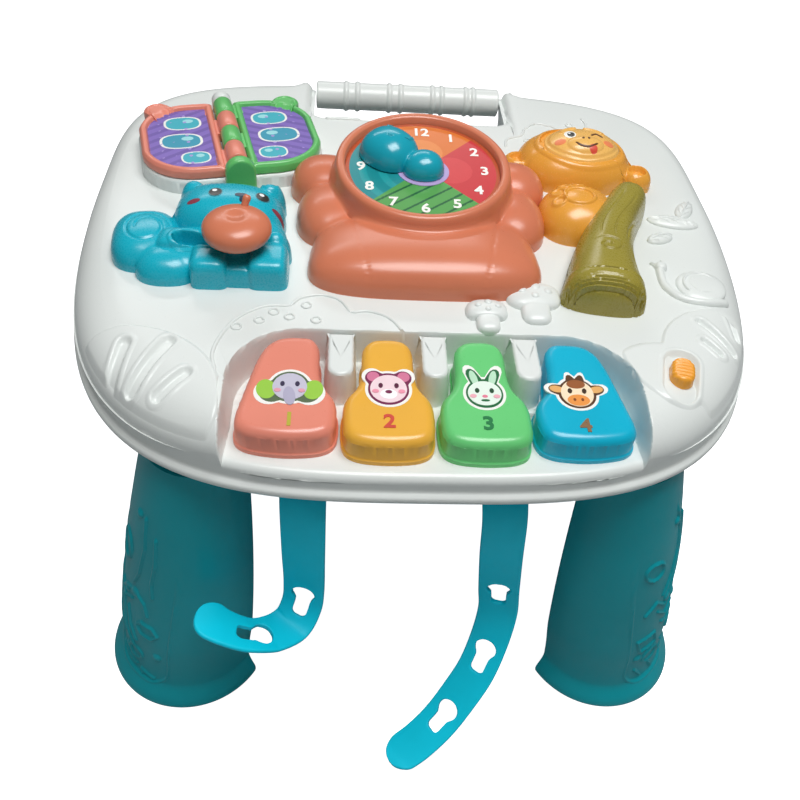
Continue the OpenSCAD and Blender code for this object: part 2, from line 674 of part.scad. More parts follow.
// ---- monkey
monkey_at = [77, 44];
button_at = [79, 44];
button_half = [19, 15];
module monkey_head() color(amber) on_table() difference() {
  union() {
    translate([monkey_at[0], monkey_at[1], 0]) crowned(ellipse([0, 0], 27, 21, 40), monkey_h, 10, [0, 0], 5);
    for (e = [[-27, -2], [28, -10]]) translate([monkey_at[0] + e[0], monkey_at[1] + e[1], 0])
      difference() {
        cylinder(r = 7, h = 9);
        translate([0, 0, 3]) cylinder(r = 4.2, h = 8);
      }
  }
  translate([button_at[0], button_at[1], -1]) linear_extrude(40) polygon(ellipse([0, 0], button_half[0], button_half[1], 36));
  translate([button_at[0], button_at[1], -1]) linear_extrude(monkey_h - 4)
    polygon(ellipse([0, 0], button_half[0] + 2.5, button_half[1] + 2.5, 36));
}
module face_button() color("#EDB35C") on_table() translate([button_at[0], button_at[1], 0]) {
  translate([0, 0, monkey_h - 8]) linear_extrude(2.5)
    polygon(ellipse([0, 0], button_half[0] + 2, button_half[1] + 2, 36));
  translate([0, 0, monkey_h - 7]) crowned(ellipse([0, 0], button_half[0] - gap, button_half[1] - gap, 36), 9, 4, [0, 0]);
  translate([0, 0, monkey_h - 12]) cylinder(r = 4, h = 5);
}
module button_spring() color("silver") on_table() translate([button_at[0], button_at[1], 0]) difference() {
  cylinder(r = 6.4, h = monkey_h - 8 - seat_gap);
  translate([0, 0, -1]) cylinder(r = 5.2, h = monkey_h);
}
hand_at = [71, 0];
module monkey_hand() color(amber) on_table() difference() {
  translate([hand_at[0], hand_at[1], 0]) crowned(ellipse([0, 0], 17, 17, 32), 15, 8, [0, 0]);
  translate([0, 0, -1]) linear_extrude(40) polygon(trunk_outline(seat_gap + 0.2));
}

// ---- tree trunk: a curved outline that widens to its roots
function trunk_mid(t) = [mix(97, 71.5, t) - 5 * sin(180 * t), mix(12, -57, t)];
function trunk_half(t) = 8 + 5 * t + 3.5 * pow(t, 3);
function trunk_outline(g) = concat(
  [for (t = [0:0.1:1]) trunk_mid(t) + [-trunk_half(t) - g, 0]],
  [for (a = [200:20:340]) trunk_mid(1) + (trunk_half(1) + g) * [cos(a), 0.5 * sin(a)]],
  [for (t = [1:-0.1:0]) trunk_mid(t) + [trunk_half(t) + g, 0]],
  [for (a = [20:40:160]) trunk_mid(0) + (trunk_half(0) + g) * [cos(a), 0.8 * sin(a)]]);
module tree_trunk() color(olive) on_table() crowned(trunk_outline(0), trunk_h, 7, [79, -22], 4);

// ---- keys
sharp_gap = gap + 0.3;
sharp_reach = well_rear_y - sharp_len - sharp_w / 2;     // front end of a sharp
waist_y = sharp_reach - sharp_gap;                       // keys widen in front of this line
outer_short = 3.5;                                       // the front row of keys follows the table's curve
// outline of a key, drawn out by g; the two outer keys slant towards the well's rounded corners
function key_outline(i, g = 0) = let (
    half = key_pitch / 2 - gap / 2 + g,
    w = key_pitch / 2 - sharp_w / 2 - sharp_gap + g,
    x = key_x(i), y0 = key_front_y + (i % 3 == 0 ? outer_short : 0) - g, y1 = key_rear_y + g)
  concat(
    i == 0 ? [[x - half + 12.4, y1], [x - half + 7.5, y1 - 4], [x - half + 4, y1 - 11], [x - half, y0 + 10],
              [x - half + 2.2, y0 + 5], [x - half + 6.5, y0 + 1.8], [x - half + 13, y0 + 0.4]]
      : [[x - w, y1], [x - w, waist_y + 2], [x - half, waist_y - 6],
         [x - half, y0 + 8], [x - half + 2, y0 + 3.2], [x - half + 7, y0 + 0.8]],
    [[x, y0]],
    i == 3 ? [[x + half - 13, y0 + 0.4], [x + half - 6.5, y0 + 1.8], [x + half - 2.2, y0 + 5],
              [x + half, y0 + 10], [x + half - 4, y1 - 11], [x + half - 7.5, y1 - 4], [x + half - 12.4, y1]]
      : [[x + half - 7, y0 + 0.8], [x + half - 2, y0 + 3.2], [x + half, y0 + 8],
         [x + half, waist_y - 6], [x + w, waist_y + 2], [x + w, y1]]);

key_top = -3;
module key(i) {
  mid = [key_x(i), key_front_y + 18];
  difference() {
    union() {
      translate([0, 0, key_top - key_h - 1]) crowned(key_outline(i), key_h + 1, 4, mid, 3);
      // arm to the rod behind the well
      translate([key_x(i) - arm_w / 2, key_rear_y - 3, rod_z - 2.5])
        cube([arm_w, rod_y - key_rear_y + 3, 5]);
      translate([key_x(i) - arm_w / 2, rod_y, rod_z]) rotate([0, 90, 0]) cylinder(r = 3.4, h = arm_w);
    }
    // flat underside, hollow round a pusher that works the contact
    translate([key_x(i) - key_pitch, key_front_y - 5, key_top - key_h - 4]) cube([2 * key_pitch, key_len + 10, 4]);
    translate([0, 0, key_top - key_h - 1]) linear_extrude(key_h - 3) difference() {
      polygon([for (p = key_outline(i, -wall)) mid + (p - mid) * 0.98]);
      translate([key_x(i), push_y]) circle(push_r);
    }
    translate([key_x(i) - arm_w, rod_y, rod_z]) rotate([0, 90, 0]) cylinder(r = rod_r + 0.1, h = 2 * arm_w);
  }
}
// the left outer key is the mirror image of the right one
module key_coral() color("#E58F80") on_table() translate([2 * kb_x, 0, 0]) mirror([1, 0, 0]) key(3);
module key_yellow() color(yellow) on_table() key(1);
module key_green() color(green) on_table() key(2);
module key_blue() color(blue) on_table() key(3);
module key_rod() color("silver") on_table() translate([kb_x - kb_half - 4, rod_y, rod_z])
  rotate([0, 90, 0]) cylinder(r = rod_r, h = 2 * kb_half + 8);

// ---- slide switch
module switch_knob() color("#F2A93B") on_table() on_switch() {
  difference() {
    translate([0, 0, -0.7]) linear_extrude(5) stadium(9, 13);
    for (y = [-3:1.5:3]) translate([-6, y - 0.3, 3.4]) cube([12, 0.6, 2]);
  }
  translate([0, 0, -5]) linear_extrude(5) stadium(slot_w - 2 * gap, slot_w + 2);
  translate([0, 0, -6.4]) linear_extrude(2) stadium(slot_w + 4, slot_w + 6);
}

// ---- straps that tie the table to a cot rail
strap_places = [[-43, -112], [31, -112]];
strap_z = base_z - strap_t / 2 - 0.1;
stud_r = 2;
strap_right_path = [[31, -106, strap_z], [31, -118, strap_z], [31, -124, -38], [32, -127, -48], [34, -127, -70],
  [37, -126, -95], [39, -126, -112], [37, -131, -127], [32, -139, -139], [25, -146, -149], [17, -153, -158],
  [8, -159, -165], [0, -163, -169.5], [-5, -166, -171]];
strap_left_path = [[-43, -106, strap_z], [-43, -118, strap_z], [-43, -124, -38], [-43, -127, -48],
  [-43, -128, -70], [-43, -128, -90], [-44, -130, -101], [-48, -135, -107], [-56, -141, -105], [-65, -144, -100],
  [-75, -143, -95], [-84, -139, -91]];
function unit(v) = v / norm(v);
module strap(path, sides) {
  n = len(path);
  dirs = [for (i = [0:n - 1]) unit(path[min(i + 1, n - 1)] - path[max(i - 1, 0)])];
  loft([for (i = [n - 1:-1:0]) let (s = unit(sides[i] - dirs[i] * (sides[i] * dirs[i])), u = cross(s, dirs[i]),
      w = (i > n - 2 ? 0.55 : 1) * strap_w / 2)
    [path[i] - s * w - u * strap_t / 2, path[i] + s * w - u * strap_t / 2,
     path[i] + s * w + u * strap_t / 2, path[i] - s * w + u * strap_t / 2]]);
}
// keyhole through a strap, a share of the way from one point of its path to the next
module keyhole(path, sides, at) {
  i = floor(at);
  d = unit(path[i + 1] - path[i]);
  s = unit(sides[i] - d * (sides[i] * d));
  u = cross(s, d);
  c = path[i] + (path[i + 1] - path[i]) * (at - i);
  multmatrix([[s[0], d[0], u[0], c[0]], [s[1], d[1], u[1], c[1]], [s[2], d[2], u[2], c[2]]])
    translate([0, 0, -2.5]) linear_extrude(5) union() {
      circle(keyhole_r, $fn = 24);
      translate([-keyhole_slot / 2, 0]) square([keyhole_slot, keyhole_l]);
    }
}
keyhole_r = 4.3;                   // round end, wider than a stud's head is thick
keyhole_slot = 5;
keyhole_l = 11;
module stud_hole(s) translate([s[0], s[1], base_z - 8]) cylinder(r = stud_r + seat_gap, h = 10);
strap_right_sides = [for (i = [0:13]) unit([1, -0.12 * max(i - 3, 0), 0.02 * i])];
strap_left_sides = [for (i = [0:11]) unit([1 - 0.07 * max(i - 3, 0), -0.05 * i, -0.02 * i])];
module strap_right() color("#00C4E4") on_table() difference() {
  strap(strap_right_path, strap_right_sides);
  stud_hole(strap_places[1]);
  for (at = [4.35, 7.15, 9.3]) keyhole(strap_right_path, strap_right_sides, at);
}
module strap_left() color("#00C4E4") on_table() difference() {
  strap(strap_left_path, strap_left_sides);
  stud_hole(strap_places[0]);
  for (at = [4.3, 8.1]) keyhole(strap_left_path, strap_left_sides, at);
}
module strap_studs() color(teal) on_table() for (s = strap_places) translate([s[0], s[1], 0]) {
  translate([0, 0, strap_z - strap_t / 2 - seat_gap - 1.8]) cylinder(r = 5, h = 1.8);
  translate([0, 0, strap_z - strap_t / 2 - seat_gap - 1]) cylinder(r = stud_r, h = 9);
}

// ---- inside the housing
board_half = 56;
board_t = 1.6;
board_z = base_z + strap_boss_h + seat_gap;
post_y = push_y + 8;               // posts stand behind the row of domes
module circuit_board() color("#1F7A3D") on_table() difference() {
  translate([kb_x - board_half, push_y - 10, board_z]) cube([2 * board_half, 20.5, board_t]);
  for (x = [-1, 1]) translate([kb_x + x * key_pitch / 2, post_y, board_z - 1]) cylinder(r = pin_through_r + 0.1, h = 4);
}
dome_h = 2.4;
module key_domes() color("#D9DCDD") on_table() translate([0, push_y, board_z + board_t + tiny]) {
  translate([kb_x - board_half + 2, -5, 0]) cube([2 * board_half - 4, 10, 0.8]);
  for (i = [0:3]) translate([key_x(i), 0, 0.8 - tiny]) cylinder(r1 = 4.2, r2 = 3, h = dome_h - 0.8);
}
module speaker() color("#4A4A4A") on_table() translate([speaker_at[0], speaker_at[1], base_z + wall + tiny]) {
  cylinder(r = speaker_r + 1, h = 2);
  translate([0, 0, 2 - tiny]) cylinder(r1 = speaker_r - 1, r2 = 10, h = 5);
  translate([0, 0, 7 - tiny]) cylinder(r = 10, h = 4);
}
module battery_door() color(teal) on_table()
  translate([bay_at[0] - bay_w / 2 + seat_gap, bay_at[1] - bay_l / 2 + seat_gap, base_z])
    cube([bay_w - 2 * seat_gap, bay_l - 2 * seat_gap, 2]);
cell_r = 7.1;
cell_l = bay_l - 3.7;              // a standard cell, 50.3 long, with its contacts at both ends
module batteries() color("#3B3B42") on_table() for (i = [-1:1])
  translate([bay_at[0] + i * 15.5, bay_at[1] + cell_l / 2 - 0.1, base_z + 2.3 + cell_r]) rotate([90, 0, 0]) {
    cylinder(r = cell_r, h = cell_l - 1);
    translate([0, 0, cell_l - 1 - tiny]) cylinder(r = 2.7, h = 1);
  }
module battery_contacts() color("silver") on_table() for (i = [-1:1], e = [-1, 1])
  translate([bay_at[0] + i * 15.5 - 5, bay_at[1] + e * (bay_l / 2 - 0.4 - seat_gap) - 0.4, base_z + 3.4]) {
    cube([10, 0.8, 12]);
    translate([5, 0.4, 6]) rotate([e * 90, 0, 0]) cylinder(r1 = 4, r2 = 2.5, h = 0.9);
  }
module base_screws() color("silver") on_table() for (b = boss_places) translate([b[0], b[1], base_z + 0.8]) {
  cylinder(r = 2.9, h = 2.2);
  cylinder(r = screw_r, h = 16);
}

top_shell();
base_shell();
leg_front_left();
leg_front_right();
leg_rear_left();
leg_rear_right();
carry_handle();
clock_housing();
clock_dial();
clock_axle();
clock_hand();
book_base();
page_left();
page_right();
picture_left();
picture_right();
book_pin();
hinge_clip();
squirrel();
apple_slider();
monkey_head();
face_button();
button_spring();
monkey_hand();
tree_trunk();
key_coral();
key_yellow();
key_green();
key_blue();
key_rod();
switch_knob();
strap_left();
strap_right();
strap_studs();
circuit_board();
key_domes();
speaker();
battery_door();
batteries();
battery_contacts();
base_screws();
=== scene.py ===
"""Looks of the musical activity table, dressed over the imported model.

Every shape is worked out in millimetres in the table's own frame: x to the right, y away from the
child, z up from the table surface. spot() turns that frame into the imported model's frame.
"""
import math

import bmesh
import bpy
import numpy as np
from mathutils import Matrix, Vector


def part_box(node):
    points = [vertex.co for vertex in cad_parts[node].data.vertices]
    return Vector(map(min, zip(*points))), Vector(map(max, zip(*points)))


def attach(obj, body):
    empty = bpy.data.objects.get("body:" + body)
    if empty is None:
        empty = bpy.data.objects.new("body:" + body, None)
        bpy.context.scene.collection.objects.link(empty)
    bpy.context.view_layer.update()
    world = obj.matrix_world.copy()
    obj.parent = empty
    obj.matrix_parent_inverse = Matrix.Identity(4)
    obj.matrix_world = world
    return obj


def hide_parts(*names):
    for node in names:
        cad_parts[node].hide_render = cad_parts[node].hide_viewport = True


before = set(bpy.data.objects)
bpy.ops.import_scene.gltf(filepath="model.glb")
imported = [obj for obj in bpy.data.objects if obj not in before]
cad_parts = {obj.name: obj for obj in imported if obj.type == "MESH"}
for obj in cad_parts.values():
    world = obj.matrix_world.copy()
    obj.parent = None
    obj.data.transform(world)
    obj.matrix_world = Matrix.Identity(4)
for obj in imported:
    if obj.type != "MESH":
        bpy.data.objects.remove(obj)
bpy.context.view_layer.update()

# ---- the table's frame, found from the rod that the keys turn on
ROD_Y, ROD_Z = -69.0, -9.5
rod_low, rod_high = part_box("key_rod")
SHIFT_Y = 500 * (rod_low.y + rod_high.y) - ROD_Y
TABLE_H = 500 * (rod_low.z + rod_high.z) - ROD_Z


def spot(points):
    """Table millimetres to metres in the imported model's frame."""
    return (np.asarray(points, float) + (0.0, SHIFT_Y, TABLE_H)) / 1000


# ---- mesh helpers
def smoothstep(a, b, x):
    """0 below a, 1 above b, and a smooth cubic between."""
    t = np.clip((x - a) / (b - a), 0, 1)
    return t * t * (3 - 2 * t)


def fade(a, b, x):
    """1 below a, 0 above b, and a smooth cubic between."""
    return 1 - smoothstep(a, b, x)


def soft_min(a, b, k):
    """The lower of two heights, with a blend about k millimetres wide where they cross."""
    low = np.minimum(a, b)
    return low - k * np.log(np.exp(-(a - low) / k) + np.exp(-(b - low) / k))


def soft_max(heights, k):
    """The highest of several heights, blended over about k millimetres where they cross."""
    stack = np.array(np.broadcast_arrays(*heights))
    top = stack.max(0)
    return top + k * np.log(np.exp((stack - top) / k).sum(0))


def turned(x, y, degrees):
    """Coordinates seen from axes that are turned by some degrees."""
    c, s = math.cos(math.radians(degrees)), math.sin(math.radians(degrees))
    return c * x + s * y, -s * x + c * y


def circle(n):
    """Angles of n points round a circle."""
    return np.linspace(0, 2 * math.pi, n, endpoint=False)


def away(x, y, place):
    """Distance from a place in the plan."""
    return np.hypot(x - place[0], y - place[1])


def unit(v):
    return v / np.linalg.norm(v, axis=-1, keepdims=True)


def plane(z):
    """Height function of a level plane."""
    return lambda x, y: np.full(np.shape(x), z)


def lifted(flat, z):
    """Flat points with a height, one for all or one for each."""
    return np.concatenate([flat, np.broadcast_to(z, flat.shape[:-1])[..., None]], -1)


def grid_quads(rows, columns, wrap_rows=False, wrap_columns=True):
    """Quads of a grid of rows by columns, each closed on itself where wrap says so."""
    r = np.arange(rows if wrap_rows else rows - 1)
    c = np.arange(columns if wrap_columns else columns - 1)
    r, c = [a.ravel() for a in np.meshgrid(r, c, indexing="ij")]
    r1, c1 = (r + 1) % rows, (c + 1) % columns
    return np.stack([r * columns + c, r * columns + c1, r1 * columns + c1, r1 * columns + c], 1)


def fans(n, m, flip=False):
    """Triangles over the ends of n rings of m points; the two middle points are numbered last."""
    i = np.arange(m)
    j = (i + 1) % m
    both = np.vstack([np.stack([np.full(m, n * m), j, i], 1),
                      np.stack([np.full(m, n * m + 1), (n - 1) * m + i, (n - 1) * m + j], 1)])
    return both[:, [0, 2, 1]] if flip else both


def capped(rings):
    """Points, quads and triangles of closed rings with a fan over each end."""
    points = np.vstack([rings.reshape(-1, 3), rings[0].mean(0), rings[-1].mean(0)])
    return points, grid_quads(*rings.shape[:2]), fans(*rings.shape[:2])


def linked(name, data):
    """Object in the scene that holds a mesh, a curve, a light or a camera."""
    obj = bpy.data.objects.new(name, data)
    bpy.context.scene.collection.objects.link(obj)
    return obj


def make_mesh(name, points, quads, triangles=(), sharp=35, colors=None):
    """A mesh object from table millimetres, shaded smooth except at edges sharper than some degrees."""
    mesh = bpy.data.meshes.new(name)
    mesh.from_pydata(spot(points).tolist(), [], np.asarray(quads).tolist() + np.asarray(triangles).tolist())
    if colors is not None:
        rgba = np.ones((len(points), 4), np.float32)
        rgba[:, :3] = colors
        layer = mesh.color_attributes.new("print", "FLOAT_COLOR", "POINT")
        layer.data.foreach_set("color", rgba.ravel())
    mesh.validate()
    mesh.shade_smooth()
    if sharp:
        mesh.set_sharp_from_angle(angle=math.radians(sharp))
    return linked(name, mesh)


def outward(obj):
    """Turns a closed mesh's faces outwards: its volume comes out positive."""
    bm = bmesh.new()
    bm.from_mesh(obj.data)
    if bm.calc_volume(signed=True) < 0:
        bmesh.ops.reverse_faces(bm, faces=bm.faces)
        bm.to_mesh(obj.data)
    bm.free()


def piece(obj, material, body="table", replaces=()):
    """Gives an object its material, the body that it rides on and the model parts that it stands for."""
    outward(obj)
    obj.data.materials.clear()
    obj.data.materials.append(material)
    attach(obj, body)
    if replaces:
        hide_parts(*replaces)
    return obj


def sweep_closed(name, rings, sharp=35):
    """Skin over closed rings, an array of rings by points by 3, with a fan over each end."""
    return make_mesh(name, *capped(np.asarray(rings, float)), sharp)


def white(obj, *replaces):
    """A piece of the table's white plastic."""
    return piece(obj, WHITE, replaces=replaces)


def disc_grid(name, centre, rim, height, under, steps, sharp=35, colors=None):
    """Closed piece over a star-shaped footprint.

    rim is an array of points round the footprint and steps gives shares from the middle, 0, to the
    rim, 1. The top follows height(x, y), and the underside follows under(x, y) back to the middle.
    """
    centre, rim = np.asarray(centre, float), np.asarray(rim, float)
    steps = np.asarray(steps, float)
    if steps.ndim == 1:
        steps = np.repeat(steps[:, None], len(rim), 1)
    flat = centre + steps[..., None] * (rim - centre)
    rings = np.concatenate([lifted(flat, height(flat[..., 0], flat[..., 1])),
                            lifted(rim, under(*rim.T))[None]], 0)
    n, m = rings.shape[:2]
    middle = [[*centre, float(f(centre[0:1], centre[1:2])[0])] for f in (height, under)]
    points = np.vstack([rings.reshape(-1, 3), middle])
    shade = None if colors is None else colors(points[:, 0], points[:, 1])
    return make_mesh(name, points, grid_quads(n, m)[:, ::-1], fans(n, m, True), sharp, shade)


def round_rim(cx, cy, rx, ry, n=96, turn=0.0, power=2.0):
    """Points round a superellipse."""
    a = circle(n)
    x = rx * np.sign(np.cos(a)) * np.abs(np.cos(a)) ** (2 / power)
    y = ry * np.sign(np.sin(a)) * np.abs(np.sin(a)) ** (2 / power)
    x, y = turned(x, y, -turn)
    return np.stack([cx + x, cy + y], 1)


def rim_of(height, centre, reach, n=320, base=0.0, samples=500):
    """Where a heightfield comes down to a base height, looking outwards from a middle point."""
    a = circle(n)
    r = np.linspace(0, reach, samples)
    x = centre[0] + r[:, None] * np.cos(a)
    y = centre[1] + r[:, None] * np.sin(a)
    over = height(x, y) - base
    last = samples - 1 - np.argmax((over >= 0)[::-1], 0)
    last = np.clip(last, 1, samples - 2)
    i = np.arange(n)
    h0, h1 = over[last, i], over[last + 1, i]
    radius = r[last] + (r[1] - r[0]) * np.clip(h0 / (h0 - h1 + 1e-9), 0, 1)
    return np.stack([centre[0] + radius * np.cos(a), centre[1] + radius * np.sin(a)], 1)


def wall_steps(rim, centre, depth, near=26, far=46, start=0.02):
    """Shares from the middle to the rim, crowded over the last few millimetres where a wall is steep."""
    span = np.linalg.norm(rim - np.asarray(centre, float), axis=1)
    edge = depth * (1 - np.cos(np.linspace(0, math.pi / 2, near)))
    edge = np.minimum(edge[:, None], span * 0.6)
    inner = np.linspace(start, 1, far, endpoint=False)[:, None] * (span - edge[-1])
    return np.concatenate([inner, span - edge[::-1]], 0) / span


# ---- outline of the table top
HALF_W, WIDE_Y, FRONT_DEPTH, REAR_DEPTH = 143.0, 40.0, 176.0, 92.0
FRONT_N, REAR_N = 3.2, 3.4
BASE_Z = -34.0
HANDLE_X, GRIP_Y, GRIP_Z, NOTCH_Y, NOTCH_HALF = 2.5, 123.0, -6.0, 91.0, 49.0


def plain_outline(inset=0.0, n=6000):
    """Two superellipse halves: the front one is deep and round, the rear one is square."""
    a = circle(n)
    s, c = np.sin(a), np.cos(a)
    power = np.where(s < 0, FRONT_N, REAR_N)
    depth = np.where(s < 0, FRONT_DEPTH, REAR_DEPTH) - inset
    x = (HALF_W - inset) * np.sign(c) * np.abs(c) ** (2 / power)
    y = WIDE_Y + depth * np.sign(s) * np.abs(s) ** (2 / power)
    return np.stack([x, y], 1)


def resample(path, spacing, closed=True):
    """Points at even steps along a path; spacing may be an array over the path's own points."""
    path = np.asarray(path, float)
    ends = np.vstack([path, path[:1]]) if closed else path
    lengths = np.linalg.norm(np.diff(ends, axis=0), axis=1)
    spacing = np.broadcast_to(spacing, len(path))[:len(lengths)]
    s = np.concatenate([[0], np.cumsum(lengths / spacing)])
    n = int(round(s[-1]))
    at = np.linspace(0, s[-1], n, endpoint=not closed)
    return np.stack([np.interp(at, s, ends[:, k]) for k in range(ends.shape[1])], 1)


def inward(path, distance):
    """Points of a counterclockwise path moved in by a distance along their normals."""
    tangent = np.roll(path, -1, 0) - np.roll(path, 1, 0)
    normal = np.stack([tangent[:, 1], -tangent[:, 0]], 1) / np.linalg.norm(tangent, axis=1)[:, None]
    return path - normal * np.broadcast_to(np.asarray(distance, float).reshape(-1, 1), (len(path), 1))


def arc(cx, cy, r, a0, a1, n=12):
    a = np.radians(np.linspace(a0, a1, n))
    return np.stack([cx + r * np.cos(a), cy + r * np.sin(a)], 1)


def table_outline():
    """The top's outline, with the hand notch cut into its rear edge and rounded where it opens."""
    path = plain_outline()
    x, y = path[:, 0] - HANDLE_X, path[:, 1]
    keep = ~((np.abs(x) < NOTCH_HALF + 6) & (y > 100))
    start = int(np.argmax(~keep))
    path = np.roll(path, -start, 0)
    keep = np.roll(keep, -start)
    rest = path[keep]
    right, left = HANDLE_X + NOTCH_HALF, HANDLE_X - NOTCH_HALF
    edge_y = rest[-1, 1]
    notch = np.vstack([
        arc(right + 6, edge_y - 6, 6, 90, 180), arc(right - 8, NOTCH_Y + 8, 8, 0, -90),
        arc(left + 8, NOTCH_Y + 8, 8, -90, -180), arc(left - 6, edge_y - 6, 6, 0, 90)])
    # the plain outline runs counterclockwise, so the notch is met from its right side
    return np.vstack([notch, rest])


KB_X, KEY_PITCH, WELL_Z, WELL_REAR_Y, KEY_FRONT_Y = 3.5, 34.0, -14.5, -77.0, -128.5
SHARP_HALF = 6.1
WELL_SIDE, WELL_BEND_Y = 72.0, -112.5
WELL_LEFT, WELL_RIGHT = KB_X - WELL_SIDE, KB_X + WELL_SIDE


def well_path():
    """The keyboard well: a straight rear wall, round corners and sides that open a little to the front."""
    return np.vstack([
        [[WELL_RIGHT + 4, -157], [WELL_RIGHT, WELL_BEND_Y]],
        arc(WELL_RIGHT - 24, WELL_REAR_Y - 24, 24, 0, 90, 24),
        arc(WELL_LEFT + 24, WELL_REAR_Y - 24, 24, 90, 180, 24),
        [[WELL_LEFT, WELL_BEND_Y], [WELL_LEFT - 4, -157]]])


def nearest(points, path, chunk=4000):
    """Distance from each point to a path's points, and the index of the nearest one."""
    points = points.reshape(-1, 2)
    distance, index = np.empty(len(points)), np.empty(len(points), int)
    for i in range(0, len(points), chunk):
        d = np.linalg.norm(points[i:i + chunk, None] - path[None], axis=2)
        index[i:i + chunk] = d.argmin(1)
        distance[i:i + chunk] = d.min(1)
    return distance, index


def inside(points, polygon):
    """True where a point lies in a polygon, by counting edges crossed."""
    x, y = points.reshape(-1, 2).T
    x0, y0 = polygon.T
    x1, y1 = np.roll(polygon, -1, 0).T
    crossed = ((y0 > y[:, None]) != (y1 > y[:, None])) & (
        x[:, None] < (x1 - x0) * (y[:, None] - y0) / (y1 - y0 + 1e-12) + x0)
    return crossed.sum(1) % 2 == 1


EDGE = resample(table_outline(), 0.5)
EDGE_IN = 2.2
UNDER = -0.6                   # underside of the pieces that stand on the table
# run and drop of the rounded shoulder, which is small in the hand notch and larger at the front corners
edge_x, edge_y = EDGE[:, 0], EDGE[:, 1]
in_notch = (np.abs(edge_x - HANDLE_X) < NOTCH_HALF + 5) & (edge_y > 80)
front_corner = smoothstep(50, 105, np.abs(edge_x)) * smoothstep(20, -60, edge_y)
kernel = np.hanning(61) / np.hanning(61).sum()


def blurred(values):
    return np.convolve(np.concatenate([values[-30:], values, values[:30]]), kernel, "valid")


EDGE_RUN = blurred(np.where(in_notch, 4.0, 12.0 + 9.0 * front_corner))
EDGE_DROP = blurred(np.where(in_notch, 4.0, 12.0 + 3.0 * front_corner))
WELL = resample(well_path(), 0.5, closed=False)
WELL_POLYGON = well_path()


def edge_distance(x, y):
    """Distance in from the top's outline, and the shoulder's run and drop there."""
    points = np.stack(np.broadcast_arrays(x, y), -1)
    d, k = nearest(points, EDGE)
    shape = points.shape[:-1]
    return d.reshape(shape), EDGE_RUN[k].reshape(shape), EDGE_DROP[k].reshape(shape)


def well_distance(x, y):
    """Distance out from the well's foot, negative inside the well."""
    points = np.stack(np.broadcast_arrays(x, y), -1)
    d, _ = nearest(points, WELL)
    d = np.where(inside(points, WELL_POLYGON), -d, d)
    return d.reshape(points.shape[:-1])


PAD_LEFT, PAD_RIGHT = (-108.0, -113.0, 38.0), (118.0, -84.0, 29.0)


def quarter(t):
    """Quarter round: 0 at t = 0 with a steep start, 1 from t = 1 on."""
    return np.sqrt(1 - (1 - np.clip(t, 0, 1)) ** 2)


def dome(t):
    """Half round: 1 in the middle, 0 from t = 1 on."""
    return np.sqrt(np.clip(1 - t ** 2, 0, 1))


def shoulder(x, y):
    """The plain top surface: flat, and rolled down over the shoulder towards the outline."""
    d, run, drop = edge_distance(x, y)
    d = d - EDGE_IN
    return -drop * (1 - quarter(d / run)), d


def top_height(x, y):
    """The top surface with the keyboard well let into it."""
    plain, d = shoulder(x, y)
    ledge = WELL_Z - 3.2 * (1 - quarter(d / 3.2))
    wall = ledge + 7.5 * np.maximum(well_distance(x, y) - 0.15, 0)
    return soft_min(plain, wall, 0.55)


